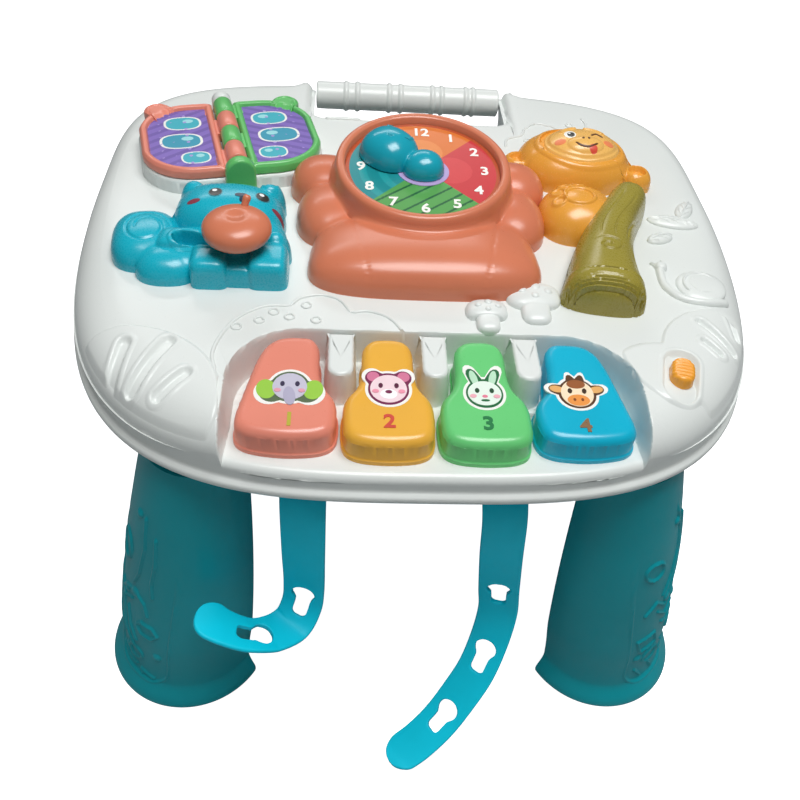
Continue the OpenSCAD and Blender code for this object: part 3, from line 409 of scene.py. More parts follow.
def top_surface():
    """The white top: rulings fan out from the foot of the well to the outline.

    Each ruling has samples crowded at the well's wall and over the shoulder, and the outline is
    carried on down as a side wall with a lip at its foot.
    """
    fine = np.interp(np.abs(EDGE[:, 0] - KB_X), [0, 60, 66, 84, 92, 200], [2.4, 2.4, 0.5, 0.5, 2.4, 2.4])
    fine = np.where(EDGE[:, 1] < -90, fine, np.where(in_notch, 1.2, 2.4))
    rim = resample(EDGE, fine)
    # anchors: walk round the well's foot in step with the outline
    foot = np.vstack([WELL[(WELL[:, 1] > WELL_BEND_Y)], [[WELL_LEFT, WELL_BEND_Y]]])
    front = np.stack([np.linspace(WELL_LEFT, WELL_RIGHT, 200), np.full(200, WELL_BEND_Y)], 1)
    ring = resample(np.vstack([foot, front[1:-1]]), 0.25)
    length = np.linspace(0, 1, len(ring), endpoint=False)
    # matching places on the well's foot and on the outline, from the front right round to the front left
    notch = HANDLE_X + NOTCH_HALF
    marks = [((WELL_RIGHT, WELL_BEND_Y), (76.0, -127.0)), ((WELL_RIGHT, -105), (143, 0)),
             ((WELL_RIGHT - 3, -92), (117, 118)), ((KB_X + 62, -82), (notch + 6, 132)),
             ((KB_X + 56, -78.5), (notch, 99)), ((KB_X + 50, -77), (HANDLE_X + 41, 91)),
             ((KB_X - 50, -77), (HANDLE_X - 41, 91)), ((KB_X - 56, -78.5), (HANDLE_X - NOTCH_HALF, 99)),
             ((KB_X - 62, -82), (HANDLE_X - NOTCH_HALF - 6, 132)), ((WELL_LEFT + 3, -92), (-117, 118)),
             ((WELL_LEFT, -105), (-143, 0)), ((WELL_LEFT, WELL_BEND_Y), (-69.0, -128.0))]
    at_ring = np.array([nearest(np.array([m[0]]), ring)[1][0] for m in marks]) / len(ring)
    at_rim = np.array([nearest(np.array([m[1]]), rim)[1][0] for m in marks]) / len(rim)
    at_ring, at_rim = np.unwrap(at_ring, period=1), np.unwrap(at_rim, period=1)
    share = np.arange(len(rim)) / len(rim)
    share = at_rim[0] + (share - at_rim[0]) % 1
    where = np.interp(share, np.append(at_rim, at_rim[0] + 1), np.append(at_ring, at_ring[0] + 1))
    anchor = np.stack([np.interp(where % 1, np.append(length, 1), np.append(ring[:, k], ring[0, k]))
                       for k in (0, 1)], 1)
    span = np.linalg.norm(rim - anchor, axis=1)
    wall = np.array([0, 0.15, 0.4, 0.7, 1.0, 1.25, 1.5, 1.7, 1.9, 2.1, 2.3, 2.6, 3.0, 3.6, 4.5])
    roll = np.concatenate([[0, 1.1], EDGE_IN + 22 * (1 - np.cos(np.linspace(0, math.pi / 2, 34)))])
    wall = np.minimum(wall[:, None], span * 0.2)
    roll = np.minimum(roll[:, None] * 1.05, span * 0.75)
    middle = wall[-1] + np.linspace(0, 1, 12)[1:-1, None] * (span - roll[-1] - wall[-1])
    r = np.sort(np.concatenate([wall, middle, span - roll[1:]], 0), 0)
    flat = anchor + (r / span)[..., None] * (rim - anchor)
    z = top_height(flat[..., 0], flat[..., 1])
    for px, py, pr in (PAD_LEFT, PAD_RIGHT):
        z = z - 2.6 * smoothstep(0, 4, pr - 3 - np.hypot(flat[..., 0] - px, flat[..., 1] - py)) * (
            smoothstep(3, 9, edge_distance(flat[..., 0], flat[..., 1])[0]))
    # side wall, lip and the turn under the rim
    down = [(EDGE_IN, -16.5), (EDGE_IN, -18.5), (EDGE_IN + 0.15, -20.6), (EDGE_IN + 0.1, -21.4),
            (1.6, -22.0), (0.6, -22.5), (0.1, -23.2), (0.0, -24.2), (0.1, -25.2), (0.5, -25.8),
            (1.2, -26.0), (4.2, -26.0), (4.4, -22.0)]
    side = [lifted(inward(rim, i), np.minimum(z0, z[-1])) for i, z0 in down]
    # the roll's last ring is the outline itself, which the side wall takes over
    rings = np.concatenate([lifted(flat, z)[:-1], np.array(side)], 0)
    m = len(rim)
    points = np.vstack([rings.reshape(-1, 3), [[KB_X, -100, WELL_Z]]])
    i = np.arange(m)
    triangles = np.stack([np.full(m, len(points) - 1), i, (i + 1) % m], 1)
    return make_mesh("top_surface", points, grid_quads(len(rings), m)[:, ::-1], triangles, sharp=50)


# ---- materials
def srgb(code):
    """Linear colour of a hex code."""
    c = np.array([int(code[i:i + 2], 16) for i in (1, 3, 5)]) / 255
    return np.where(c <= 0.04045, c / 12.92, ((c + 0.055) / 1.055) ** 2.4)


def link(tree, a, b):
    tree.links.new(a, b)


def moulded_surface():
    """Node group for moulded plastic: slow tone drift, fine grain in the gloss and a faint ripple."""
    group = bpy.data.node_groups.new("moulded_surface", "ShaderNodeTree")
    sockets = [("Colour", "Color", (1, 1, 1, 1)), ("Mottle", "Float", 0.06), ("Scale", "Float", 60.0),
               ("Roughness", "Float", 0.3), ("Relief", "Float", 0.2)]
    for label, kind, value in sockets:
        group.interface.new_socket(label, in_out="INPUT",
                                   socket_type="NodeSocket" + kind).default_value = value
    for label, kind in (("Color", "Color"), ("Roughness", "Float"), ("Normal", "Vector")):
        group.interface.new_socket(label, in_out="OUTPUT", socket_type="NodeSocket" + kind)

    def new(kind, **values):
        """A node with some inputs set, each named with _ for a space."""
        node = group.nodes.new(kind)
        for label, value in values.items():
            node.inputs[label.replace("_", " ")].default_value = value
        return node

    def math_node(operation, first=0.5):
        node = new("ShaderNodeMath")
        node.operation = operation
        node.inputs[0].default_value = first
        return node
    start, end, place = new("NodeGroupInput"), new("NodeGroupOutput"), new("ShaderNodeTexCoord")
    slow, fine = new("ShaderNodeTexNoise", Detail=3), new("ShaderNodeTexNoise", Detail=2, Scale=1400)
    tone = new("ShaderNodeMapRange", From_Min=0.3, From_Max=0.7)
    gloss = new("ShaderNodeMapRange", To_Min=-0.06, To_Max=0.06)
    hue, bump = new("ShaderNodeHueSaturation"), new("ShaderNodeBump", Distance=0.00006, Strength=0.6)
    low, high = math_node("SUBTRACT", 1), math_node("ADD", 1)
    rough, height = math_node("ADD"), math_node("MULTIPLY")
    for a, b in ((place.outputs["Object"], slow.inputs["Vector"]),
                 (place.outputs["Object"], fine.inputs["Vector"]),
                 (start.outputs["Scale"], slow.inputs["Scale"]), (start.outputs["Mottle"], low.inputs[1]),
                 (start.outputs["Mottle"], high.inputs[1]), (slow.outputs["Fac"], tone.inputs["Value"]),
                 (low.outputs[0], tone.inputs["To Min"]), (high.outputs[0], tone.inputs["To Max"]),
                 (tone.outputs["Result"], hue.inputs["Value"]),
                 (start.outputs["Colour"], hue.inputs["Color"]),
                 (hue.outputs["Color"], end.inputs["Color"]), (fine.outputs["Fac"], gloss.inputs["Value"]),
                 (start.outputs["Roughness"], rough.inputs[0]), (gloss.outputs["Result"], rough.inputs[1]),
                 (rough.outputs[0], end.inputs["Roughness"]), (fine.outputs["Fac"], height.inputs[0]),
                 (start.outputs["Relief"], height.inputs[1]), (height.outputs[0], bump.inputs["Height"]),
                 (bump.outputs["Normal"], end.inputs["Normal"])):
        link(group, a, b)
    return group


SURFACE = moulded_surface()


def plastic(name, colour, rough=0.4, mottle=0.02, scale=300, relief=0.2, coat=0.1, printed=False,
            metal=0.0, shine=0.5):
    """Plastic with the shared surface group; colour is a hex code, or the print attribute is used."""
    material = bpy.data.materials.new(name)
    material.use_nodes = True
    tree = material.node_tree
    shader, group = tree.nodes["Principled BSDF"], tree.nodes.new("ShaderNodeGroup")
    group.node_tree = SURFACE
    for node, label, value in ((group, "Colour", (*srgb(colour), 1)), (group, "Mottle", mottle),
                               (group, "Scale", scale),
                               (group, "Roughness", rough), (group, "Relief", relief),
                               (shader, "Coat Weight", coat),
                               (shader, "Coat Roughness", 0.18), (shader, "Specular IOR Level", shine),
                               (shader, "Metallic", metal)):
        node.inputs[label].default_value = value
    if printed:
        source = tree.nodes.new("ShaderNodeAttribute")
        source.attribute_name = "print"
        link(tree, source.outputs["Color"], group.inputs["Colour"])
    for label, target in (("Color", "Base Color"), ("Roughness", "Roughness"), ("Normal", "Normal")):
        link(tree, group.outputs[label], shader.inputs[target])
    return material


WHITE = plastic("white_moulding", "#E4E9E6", 0.3, 0.012, 25, 0.25, 0.1)
TEAL = plastic("teal_moulding", "#009DA9", 0.42, 0.05, 30, 0.35, 0.0, shine=0.3)
CORAL = plastic("coral_moulding", "#D67D5C", 0.3, 0.03, 40, 0.3, 0.2)
KEY_CORAL = plastic("key_coral_moulding", "#E98D78", 0.3, 0.03, 40, 0.3, 0.2)
KEY_YELLOW = plastic("key_yellow_moulding", "#EDB240", 0.3, 0.03, 40, 0.3, 0.2)
KEY_GREEN = plastic("key_green_moulding", "#6BD07C", 0.3, 0.03, 40, 0.3, 0.2)
KEY_BLUE = plastic("key_blue_moulding", "#00B2D2", 0.3, 0.04, 40, 0.3, 0.2)
STRAP = plastic("strap_rubber_skin", "#00D6F2", 0.5, 0.04, 50, 0.5, 0.0, shine=0.25)
SQUIRREL = plastic("squirrel_moulding", "#10B2C8", 0.28, 0.04, 40, 0.25, 0.25)
AMBER = plastic("amber_moulding", "#EBA53F", 0.26, 0.03, 40, 0.25, 0.3)
FACE = plastic("face_moulding", "#F2BC64", 0.28, 0.03, 40, 0.25, 0.25)
OLIVE = plastic("olive_moulding", "#9A8E38", 0.28, 0.06, 50, 0.3, 0.25)
GREEN = plastic("green_moulding", "#66C26C", 0.3, 0.03, 40, 0.3, 0.2)
ORANGE = plastic("orange_moulding", "#F3A635", 0.3, 0.03, 40, 0.3, 0.2)
HAND_TEAL = plastic("hand_teal_moulding", "#0FA3B8", 0.22, 0.04, 40, 0.2, 0.35)
PRINT = plastic("printed_ink", "#FFFFFF", 0.34, 0.015, 200, 0.25, 0.25, printed=True)


# ---- base skin: a smooth strip over the base's side
def base_skin():
    """Ring of rounded section round the base; it stands in from the top's side, less so in the notch."""
    rim = resample(EDGE, np.where(in_notch, 1.0, 2.2))
    near = (np.abs(rim[:, 0] - HANDLE_X) < NOTCH_HALF + 3) & (rim[:, 1] > 80)
    far = np.convolve(np.concatenate([near[-6:], near, near[:6]]).astype(float), np.ones(13) / 13, "valid")
    inset = 4.85 - 3.95 * far
    section = [(0, -25.8), (0, -29), (0.15, -30.4), (0.6, -31.7), (1.4, -32.9), (2.6, -33.7), (4.0, -34.02),
               (6.5, -34.02), (6.5, -31), (3.2, -29), (2.4, -25.8)]
    scale = 1 - 0.72 * far
    rings = [lifted(inward(rim, inset + i * scale), z) for i, z in section]
    quads = grid_quads(len(rings), len(rim), wrap_rows=True)
    return make_mesh("base_skin", np.concatenate(rings), quads, sharp=50)


# ---- relief drawn with lines
def line_distance(x, y, lines):
    """Distance from points to the nearest of some polylines."""
    best = np.full(np.shape(x), 1e9)
    for line in lines:
        line = np.asarray(line, float)
        for a, b in zip(line[:-1], line[1:]):
            d = b - a
            t = np.clip(((x - a[0]) * d[0] + (y - a[1]) * d[1]) / (d @ d + 1e-12), 0, 1)
            best = np.minimum(best, np.hypot(x - a[0] - t * d[0], y - a[1] - t * d[1]))
    return best


def ring_line(cx, cy, rx, ry=None, turn=0.0, n=24, part=(0, 360)):
    a = np.radians(np.linspace(*part, n + 1))
    x, y = turned(rx * np.cos(a), (ry or rx) * np.sin(a), -turn)
    return np.stack([cx + x, cy + y], 1)


def spiral(cx, cy, rx, ry, growth_x, growth_y, a0, a1, n):
    """Spiral line whose radii grow with the angle."""
    a = np.linspace(a0, a1, n)
    return np.stack([cx + (rx + growth_x * a) * np.cos(a), cy + (ry + growth_y * a) * np.sin(a)], 1)


def raised(distance, width, height):
    """Rounded line of some width and height at a distance from its middle."""
    t = np.clip(np.abs(distance) / (width / 2), 0, 1)
    return height * (1 - t ** 2) ** 0.75


# ---- legs
LEG_X, LEG_FRONT_Y, LEG_REAR_Y, LEG_H, LEG_TOP_R, LEG_WALL = 82.5, -97.5, 93.5, 139.0, 21.5, 2.8
MOTIFS_A = [ring_line(-11, 88, 4.2, 7, 10), [(1, 112), (2, 96), (0, 80), (-3, 72)],
            [(7, 104), (8, 90), (7, 78), (8, 70)],
            [(-14, 58), (-9, 64), (-2, 67), (4, 63), (6, 56)], [(-15, 62), (-10, 56), (-4, 60)],
            ring_line(6, 46, 6, 4.5, 0, 6),
            [(-12, 54), (-11, 44), (-8, 34), (-2, 28)], [(-7, 52), (-5, 42), (0, 34)],
            [(-14, 38), (-10, 30)],
            ring_line(-1, 24, 5, 4, 30, 12), [(-12, 18), (-7, 14), (0, 15)],
            [(3, 14), (11, 12), (6, 8), (3, 14)]]
MOTIFS_B = [ring_line(-9, 90, 5, 5), [(3, 118), (7, 104), (7, 92), (3, 80), (-2, 70)],
            [(9, 112), (12, 96), (8, 80), (3, 68)],
            [(-12, 62), (-6, 68), (0, 62), (6, 68)], [(-4, 60), (2, 54), (8, 58)],
            [(0, 50), (5, 46), (11, 50)],
            [(-14, 44), (-4, 46), (-2, 38), (-12, 36), (-14, 44)], ring_line(-4, 28, 5, 5),
            [(4, 32), (10, 28)],
            [(-12, 20), (-8, 14)], [(-3, 20), (0, 14)], ring_line(10, 40, 3)]
LEG_DOTS = [(2, 66, 2.6), (9, 62, 2.2), (-12, 30, 2.4), (7, 22, 2.4), (3, 112, 2.0)]


def leg_relief(s, h, motifs):
    """Sunk panel with a raised border and small raised drawings; s runs round the leg, h is the height."""
    half = 17 + 2.5 * np.clip(h / 100, 0, 1)
    corner = 9.0
    # signed distance to a panel that is open at its top and round at its lower corners
    qx, qy = np.abs(s) - (half - corner), (10 + corner) - h
    inside_d = corner - np.hypot(np.maximum(qx, 0), np.maximum(qy, 0))
    inside_d = np.where((qx < 0) & (qy < 0), np.minimum(half - np.abs(s), h - 10), inside_d)
    border = raised(inside_d, 1.3, 0.4) * fade(78, 112, h)
    sunk = -0.55 * smoothstep(0, 1.2, inside_d) * fade(60, 104, h)
    drawing = raised(line_distance(s, h, motifs), 1.7, 0.95)
    for x, y, r in LEG_DOTS:
        drawing = np.maximum(drawing, 1.1 * dome(away(s, h, (x, y)) / r))
    return border + sunk + drawing * (inside_d > 1.5)


def leg(name, sx, sy, leg_y, motifs):
    """C-shaped shell: its wall spans 212 degrees, leans outwards and ends in a rolled lip at the foot."""
    half_angle, tip_turn, tip_n, inner_n = math.radians(106), 0.022, 6, 60
    a = np.concatenate([np.linspace(-half_angle, -0.62, 30, endpoint=False),
                        np.linspace(-0.62, 0.62, 110, endpoint=False), np.linspace(0.62, half_angle, 30)])
    h = np.concatenate([np.linspace(0, 1.8, 9), np.linspace(2.6, 14, 24), np.linspace(14.6, 118, 180),
                        np.linspace(121, LEG_H, 8)])
    share, foot = 1 - h / LEG_H, 1 - quarter(h / 1.8)
    plain = LEG_TOP_R + 11 * share + 10.4 * share * (1 - share) * fade(0.72, 0.93, share)
    radius = plain + 4 * fade(2.0, 12.5, h) - 1.8 * foot
    rows, bend = np.meshgrid(h, a, indexing="ij")
    outer = radius[:, None] + leg_relief(bend * radius[:, None], rows, motifs) * (rows > 9)
    inner_a = np.linspace(half_angle, -half_angle, inner_n)
    inner = (plain + 4 * fade(4.0, 14, h) + 1.4 * foot - LEG_WALL)[:, None] + 0 * inner_a
    # half-round ends of the wall
    tip = np.linspace(0, math.pi, tip_n + 2)[1:-1]
    middle, thick = (outer[:, -1:] + inner[:, :1]) / 2, (outer[:, -1:] - inner[:, :1]) / 2
    end_r = middle + thick * np.cos(tip)
    end_a = half_angle - tip_turn + thick * np.sin(tip) / middle
    radii = np.concatenate([outer, end_r, inner, end_r[:, ::-1]], 1)
    squeeze = 1 - tip_turn / half_angle
    angle = np.concatenate([np.broadcast_to(a * squeeze, outer.shape), end_a,
                            np.broadcast_to(inner_a * squeeze, inner.shape), -end_a[:, ::-1]],
                            1) - math.pi / 4
    x = 16 * share[:, None] + radii * np.cos(angle)
    y = -7 * share[:, None] + radii * np.sin(angle)
    rings = lifted(np.stack([sx * (LEG_X + x), leg_y + sy * y], 2), (h - LEG_H + BASE_Z)[:, None])
    n, m = x.shape
    ends = [t[::-1] if row else t for row in (0, n - 1) for t in end_faces(row * m, len(a), tip_n, inner_n)]
    return make_mesh(name, rings.reshape(-1, 3), grid_quads(n, m), ends, 60)


def end_faces(start, outer_n, tip_n, inner_n):
    """Triangles over one C-shaped end of a leg: a strip between its walls and a fan over each tip."""
    outer = start + np.arange(outer_n)
    inner = start + outer_n + tip_n + inner_n - 1 - np.arange(inner_n)
    faces, i, j = [], 0, 0
    while i < outer_n - 1 or j < inner_n - 1:
        if j == inner_n - 1 or (i < outer_n - 1 and (i + 1) / (outer_n - 1) <= (j + 1) / (inner_n - 1)):
            faces.append([outer[i], outer[i + 1], inner[j]])
            i += 1
        else:
            faces.append([outer[i], inner[j + 1], inner[j]])
            j += 1
    for first, last in ((outer[-1], inner[-1]), (inner[0], outer[0])):
        tip = [first, *(first + 1 + np.arange(tip_n)), last]
        faces += [[tip[0], tip[k], tip[k + 1]] for k in range(1, len(tip) - 1)]
    return faces


# ---- keys
def chaikin(path, rounds=3, cut=0.25):
    """Corner cutting on a closed polygon."""
    path = np.asarray(path, float)
    for _ in range(rounds):
        after = np.roll(path, -1, 0)
        path = np.stack([path * (1 - cut) + after * cut, path * cut + after * (1 - cut)], 1).reshape(-1, 2)
    return path


def key_x(i):
    return KB_X + (i - 1.5) * KEY_PITCH


def key_outline(i):
    """Plan of one key, counterclockwise; the outer keys are round on their outer side."""
    half, w, x = KEY_PITCH / 2 - 0.25, KEY_PITCH / 2 - SHARP_HALF - 0.8, key_x(i)
    y0, y1, waist = KEY_FRONT_Y + (2.5 if i in (0, 3) else 0), -76.6, WELL_REAR_Y - 23.6
    straight = [(w, y1), (w, waist + 2), (half, waist - 6), (half, y0 + 8), (half - 2, y0 + 3.2),
                (half - 7, y0 + 0.8), (0, y0)]
    out = half + 3.0
    rounded = [(half - 11.4, y1), (half - 5.5, y1 - 5), (half - 2.2, y1 - 14), (out, y0 + 12),
               (out - 0.6, y0 + 5.5), (half - 1.6, y0 + 2.2), (half - 9, y0 + 0.6), (0, y0)]
    left, right = rounded if i == 0 else straight, rounded if i == 3 else straight
    return resample(chaikin([(x - p, q) for p, q in left] + [(x + p, q) for p, q in right[-2::-1]], 4,
                            0.22), 0.8)


def rounded_block(name, rim, middle, top, drop, section, inner=16, near=14, sharp=40):
    """Block over an outline: a flat or sloped top, a rounded edge, then side rings (inset, height)."""
    first = inward(rim, section[0][0])
    steps = wall_steps(first, middle, drop * 1.25, near, inner, 0.04)
    flat = middle + steps[..., None] * (first - middle)
    d, _ = nearest(flat.reshape(-1, 2), resample(first, 0.25))
    d = d.reshape(flat.shape[:2])
    z = top(flat[..., 0], flat[..., 1]) - drop * (1 - quarter(d / drop))
    rings = np.array([*lifted(flat, z), *(lifted(inward(rim, inset), height) for inset,
                                          height in section[1:])])
    n, m = rings.shape[:2]
    points = np.vstack([rings.reshape(-1, 3), [*middle, float(top(middle[:1], middle[1:])[0])],
                        [*middle, section[-1][1]]])
    return make_mesh(name, points, grid_quads(n, m), fans(n, m, True), sharp)


def key_level(across, y):
    """Top of a key: nearly level with the table at the rear, lower and pillowed in front."""
    return -3.2 + 2.5 * smoothstep(-112, -78, y) - 0.0012 * across ** 2


def key_surface(i):
    return lambda x, y: key_level(x - key_x(i), y)


def key(i, name):
    """Pillow-topped key with a slim lip round its foot."""
    return rounded_block(name, key_outline(i), np.array([key_x(i), KEY_FRONT_Y + 19.0]), key_surface(i),
                         3.6,
                         [(0.75, 0), (0.75, -12.2), (0.6, -12.6), (0.12, -12.9), (0.02, -13.4),
                          (0.02, -19.0)])


def sharp_block(k):
    """White tongue between two keys: flat top, round front end and a sloped skirt."""
    x = KB_X + k * KEY_PITCH
    rim = np.vstack([[[x - SHARP_HALF, -76.0]], [[x - SHARP_HALF, -86.0]],
                     arc(x, -94, SHARP_HALF, 180, 360, 24),
                     [[x + SHARP_HALF, -86.0], [x + SHARP_HALF, -76.0]]])
    rim = resample(rim, 0.7)
    middle = np.array([x, -90.0])
    return rounded_block("sharp_%d" % (k + 2), rim, middle, lambda px, py: 0.5 + 0.03 * (py + 77), 1.3,
                         [(1.5, 0), (1.3, -2.5), (0.5, -8.0), (0.1, -14.0), (0.0, -15.2)], inner=10,
                         near=10)


# ---- straps
def smooth_path(points, n):
    """Catmull-Rom curve through points, sampled evenly."""
    p = np.asarray(points, float)
    p = np.vstack([2 * p[0] - p[1], p, 2 * p[-1] - p[-2]])
    out = []
    for k in range(1, len(p) - 2):
        t = np.linspace(0, 1, 24, endpoint=False)[:, None]
        a, b, c, d = p[k - 1:k + 3]
        out.append(0.5 * (2 * b + (c - a) * t + (2 * a - 5 * b + 4 * c - d) * t ** 2
                          + (3 * b - a - 3 * c + d) * t ** 3))
    out = np.vstack(out + [p[-2:-1]])
    s = np.concatenate([[0], np.cumsum(np.linalg.norm(np.diff(out, axis=0), axis=1))])
    at = np.linspace(0, s[-1], n)
    return np.stack([np.interp(at, s, out[:, k]) for k in range(out.shape[1])], 1)


HEAD, TAIL, NARROW, SLOT_ROUND = 4.8, 11.5, 3.1, 2.0
STRAP_HALF_W, STRAP_HALF_T = 8.5, 1.1


def keyhole(u, v):
    """Signed distance, negative inside, to a keyhole: a round head at v = 0 and a slot towards higher v."""
    ball = np.hypot(u, v * 1.12) - HEAD
    qu, qv = np.abs(u) - NARROW + SLOT_ROUND, np.abs(v - TAIL / 2) - TAIL / 2 + SLOT_ROUND
    slot = np.hypot(np.maximum(qu, 0), np.maximum(qv, 0)) + np.minimum(np.maximum(qu, qv), 0) - SLOT_ROUND
    return soft_min(ball, slot, 0.5)


def strap(name, path, sides, holes):
    """Rubber band swept along a path, with rounded edges and keyholes cut as warped openings."""
    both = smooth_path(np.hstack([path, sides]), 640)
    mid, side = both[:, :3], both[:, 3:]
    direction = unit(np.gradient(mid, axis=0))
    side = unit(side - direction * (side * direction).sum(1, keepdims=True))
    up = np.cross(side, direction)
    along = np.concatenate([[0], np.cumsum(np.linalg.norm(np.diff(mid, axis=0), axis=1))])
    # plan of the band: u across, v along, with a round end
    end = (along[-1] - along) / STRAP_HALF_W
    width = STRAP_HALF_W * np.where(end < 1, np.sqrt(np.clip(1 - (1 - end) ** 2, 0.0004, 1)), 1)[:, None]
    u = np.linspace(-1, 1, 61) * width
    v = np.broadcast_to(along[:, None], u.shape)
    keep, depth, step = np.ones(u.shape, bool), np.full(u.shape, 9.0), 0.05
    for at in holes:
        depth = np.minimum(depth, keyhole(u, v - at))
        # points near the hole's border are moved onto it
        for _ in range(6):
            d = keyhole(u, v - at)
            gu, gv = (keyhole(u + step, v - at) - d) / step, (keyhole(u, v + step - at) - d) / step
            pull = np.where(np.abs(d) < 0.26, d / np.maximum(gu ** 2 + gv ** 2, 0.05), 0)
            u, v = u - pull * gu, v - pull * gv
        keep &= keyhole(u, v - at) > -0.02
    thick = STRAP_HALF_T * np.minimum(0.35 + 0.65 * quarter(width - np.abs(u)),
                                      0.6 + 0.4 * quarter(depth / 0.7))

    def at_v(values):
        return np.stack([np.interp(v, along, values[:, k]) for k in range(3)], -1)
    flat, rise = at_v(mid) + at_v(side) * u[..., None], at_v(up) * thick[..., None]
    points = np.concatenate([(flat + rise).reshape(-1, 3), (flat - rise).reshape(-1, 3)])
    q = grid_quads(*u.shape, wrap_columns=False)
    q = q[keep.reshape(-1)[q].all(1)]
    # border edges belong to one quad only: they get a wall
    edges = {e for a, b, c, d in q.tolist() for e in ((a, b), (b, c), (c, d), (d, a))}
    walls = [(a, b, b + u.size, a + u.size) for a, b in sorted(edges) if (b, a) not in edges]
    quads = np.vstack([q[:, ::-1], q + u.size, np.array(walls)])
    used, renumbered = np.unique(quads, return_inverse=True)
    return make_mesh(name, points[used], renumbered.reshape(quads.shape), sharp=45)


STRAP_Z = BASE_Z - 1.2
RIGHT_PATH = [(31, -106, STRAP_Z), (31, -118, STRAP_Z), (31, -124, -38), (32, -127, -48), (34, -127, -70),
              (37, -126, -95),
              (39, -126, -112), (37, -131, -127), (32, -139, -139), (25, -146, -149), (17, -153, -158),
              (8, -159, -165),
              (0, -163, -169.5), (-5, -166, -171)]
LEFT_PATH = [(-43, -106, STRAP_Z), (-43, -118, STRAP_Z), (-43, -124, -38), (-43, -127, -48),
             (-43, -128, -70), (-43, -128, -90),
             (-44, -130, -101), (-48, -135, -107), (-56, -141, -105), (-65, -144, -100), (-75, -143, -95),
             (-84, -139, -91)]
RIGHT_SIDES = [unit(np.array([1, -0.12 * max(i - 3, 0), 0.02 * i])) for i in range(14)]
LEFT_SIDES = [unit(np.array([1 - 0.07 * max(i - 3, 0), -0.05 * i, -0.02 * i])) for i in range(12)]


# ---- build the body of the table
white(top_surface(), "top_shell")
piece(base_skin(), TEAL)
for leg_name, sx, sy, leg_y, motifs in (("front_left", -1, 1, LEG_FRONT_Y, MOTIFS_A),
                                        ("front_right", 1, 1, LEG_FRONT_Y, MOTIFS_B),
                                        ("rear_left", -1, -1, LEG_REAR_Y, MOTIFS_B),
                                        ("rear_right", 1, -1, LEG_REAR_Y, MOTIFS_A)):
    if sx < 0 and sy > 0 or sx > 0 and sy < 0:
        motifs = [[(-p[0], p[1]) for p in line] for line in motifs]
    piece(leg("leg_skin_" + leg_name, sx, sy, leg_y, motifs), TEAL,
          replaces=["leg_" + leg_name])
for i, (key_name, material) in enumerate((("coral", KEY_CORAL), ("yellow", KEY_YELLOW),
                                          ("green", KEY_GREEN), ("blue", KEY_BLUE))):
    slot_name = {"green": "green_plastic"}.get(key_name, "key_%s_plastic" % key_name)
    piece(key(i, "key_skin_" + key_name), material, "key_" + key_name, ["key_" + key_name])
for k in (-1, 0, 1):
    white(sharp_block(k))
piece(strap("strap_skin_right", RIGHT_PATH, RIGHT_SIDES, (75.5, 114.5, 147.5)), STRAP,
      replaces=["strap_right"])
piece(strap("strap_skin_left", LEFT_PATH, LEFT_SIDES, (76, 106)), STRAP,
      replaces=["strap_left"])


# ---- toys on the table: heightfields over rounded footprints
def bump(x, y, cx, cy, rx, ry, h, turn=0.0, p=2.4, q=2.4):
    """Rounded hill with steep sides over a superellipse; it runs on downwards outside its footprint."""
    u, v = turned(x - cx, y - cy, turn)
    rho = (np.abs(u / rx) ** p + np.abs(v / ry) ** p) ** (1 / p)
    return np.where(rho < 1, h * np.clip(1 - rho ** p, 0, 1) ** (1 / q), -(rho - 1) * 4 * h)


def hill(name, height, centre, reach, under=UNDER, n=340, near=30, far=60, depth=6.0, sharp=60,
         colors=None, base=0.0):
    """Closed piece with a heightfield for its top, which ends just under the table."""
    rim = rim_of(height, centre, reach, n, base)
    steps = wall_steps(rim, centre, depth, near, far)
    return disc_grid(name, centre, rim, lambda x, y: np.maximum(height(x, y), base - 0.35),
                             plane(under), steps, sharp, colors)


def decal(name, surface, rim, lift, colour, middle=None):
    """Thin printed or painted shape that follows a surface."""
    rim = np.asarray(rim, float)
    middle = rim.mean(0) if middle is None else middle
    steps = np.linspace(0.08, 1, 14)
    return disc_grid(name, middle, rim, lambda x, y: surface(x, y) + lift, lambda x,
                     y: surface(x, y) - 0.4, steps, 60,
                             lambda x, y: np.broadcast_to(srgb(colour), (len(x), 3)))


def move_points(mesh, change):
    """Puts a mesh's points through a change of their coordinates, which gives table millimetres."""
    co = np.empty(len(mesh.vertices) * 3)
    mesh.vertices.foreach_get("co", co)
    mesh.vertices.foreach_set("co", spot(change(co.reshape(-1, 3))).ravel())
    mesh.update()


def laid(obj, rotation, origin):
    """Turns an object's points about the table frame's origin and moves them to a place."""
    move_points(obj.data, lambda co: (co * 1000 - (0, SHIFT_Y, TABLE_H)) @ rotation.T + origin)
    return obj


def spin(degrees, axis="z"):
    c, s = math.cos(math.radians(degrees)), math.sin(math.radians(degrees))
    if axis == "x":
        return np.array([[1, 0, 0], [0, c, -s], [0, s, c]])
    return np.array([[c, -s, 0], [s, c, 0], [0, 0, 1]])


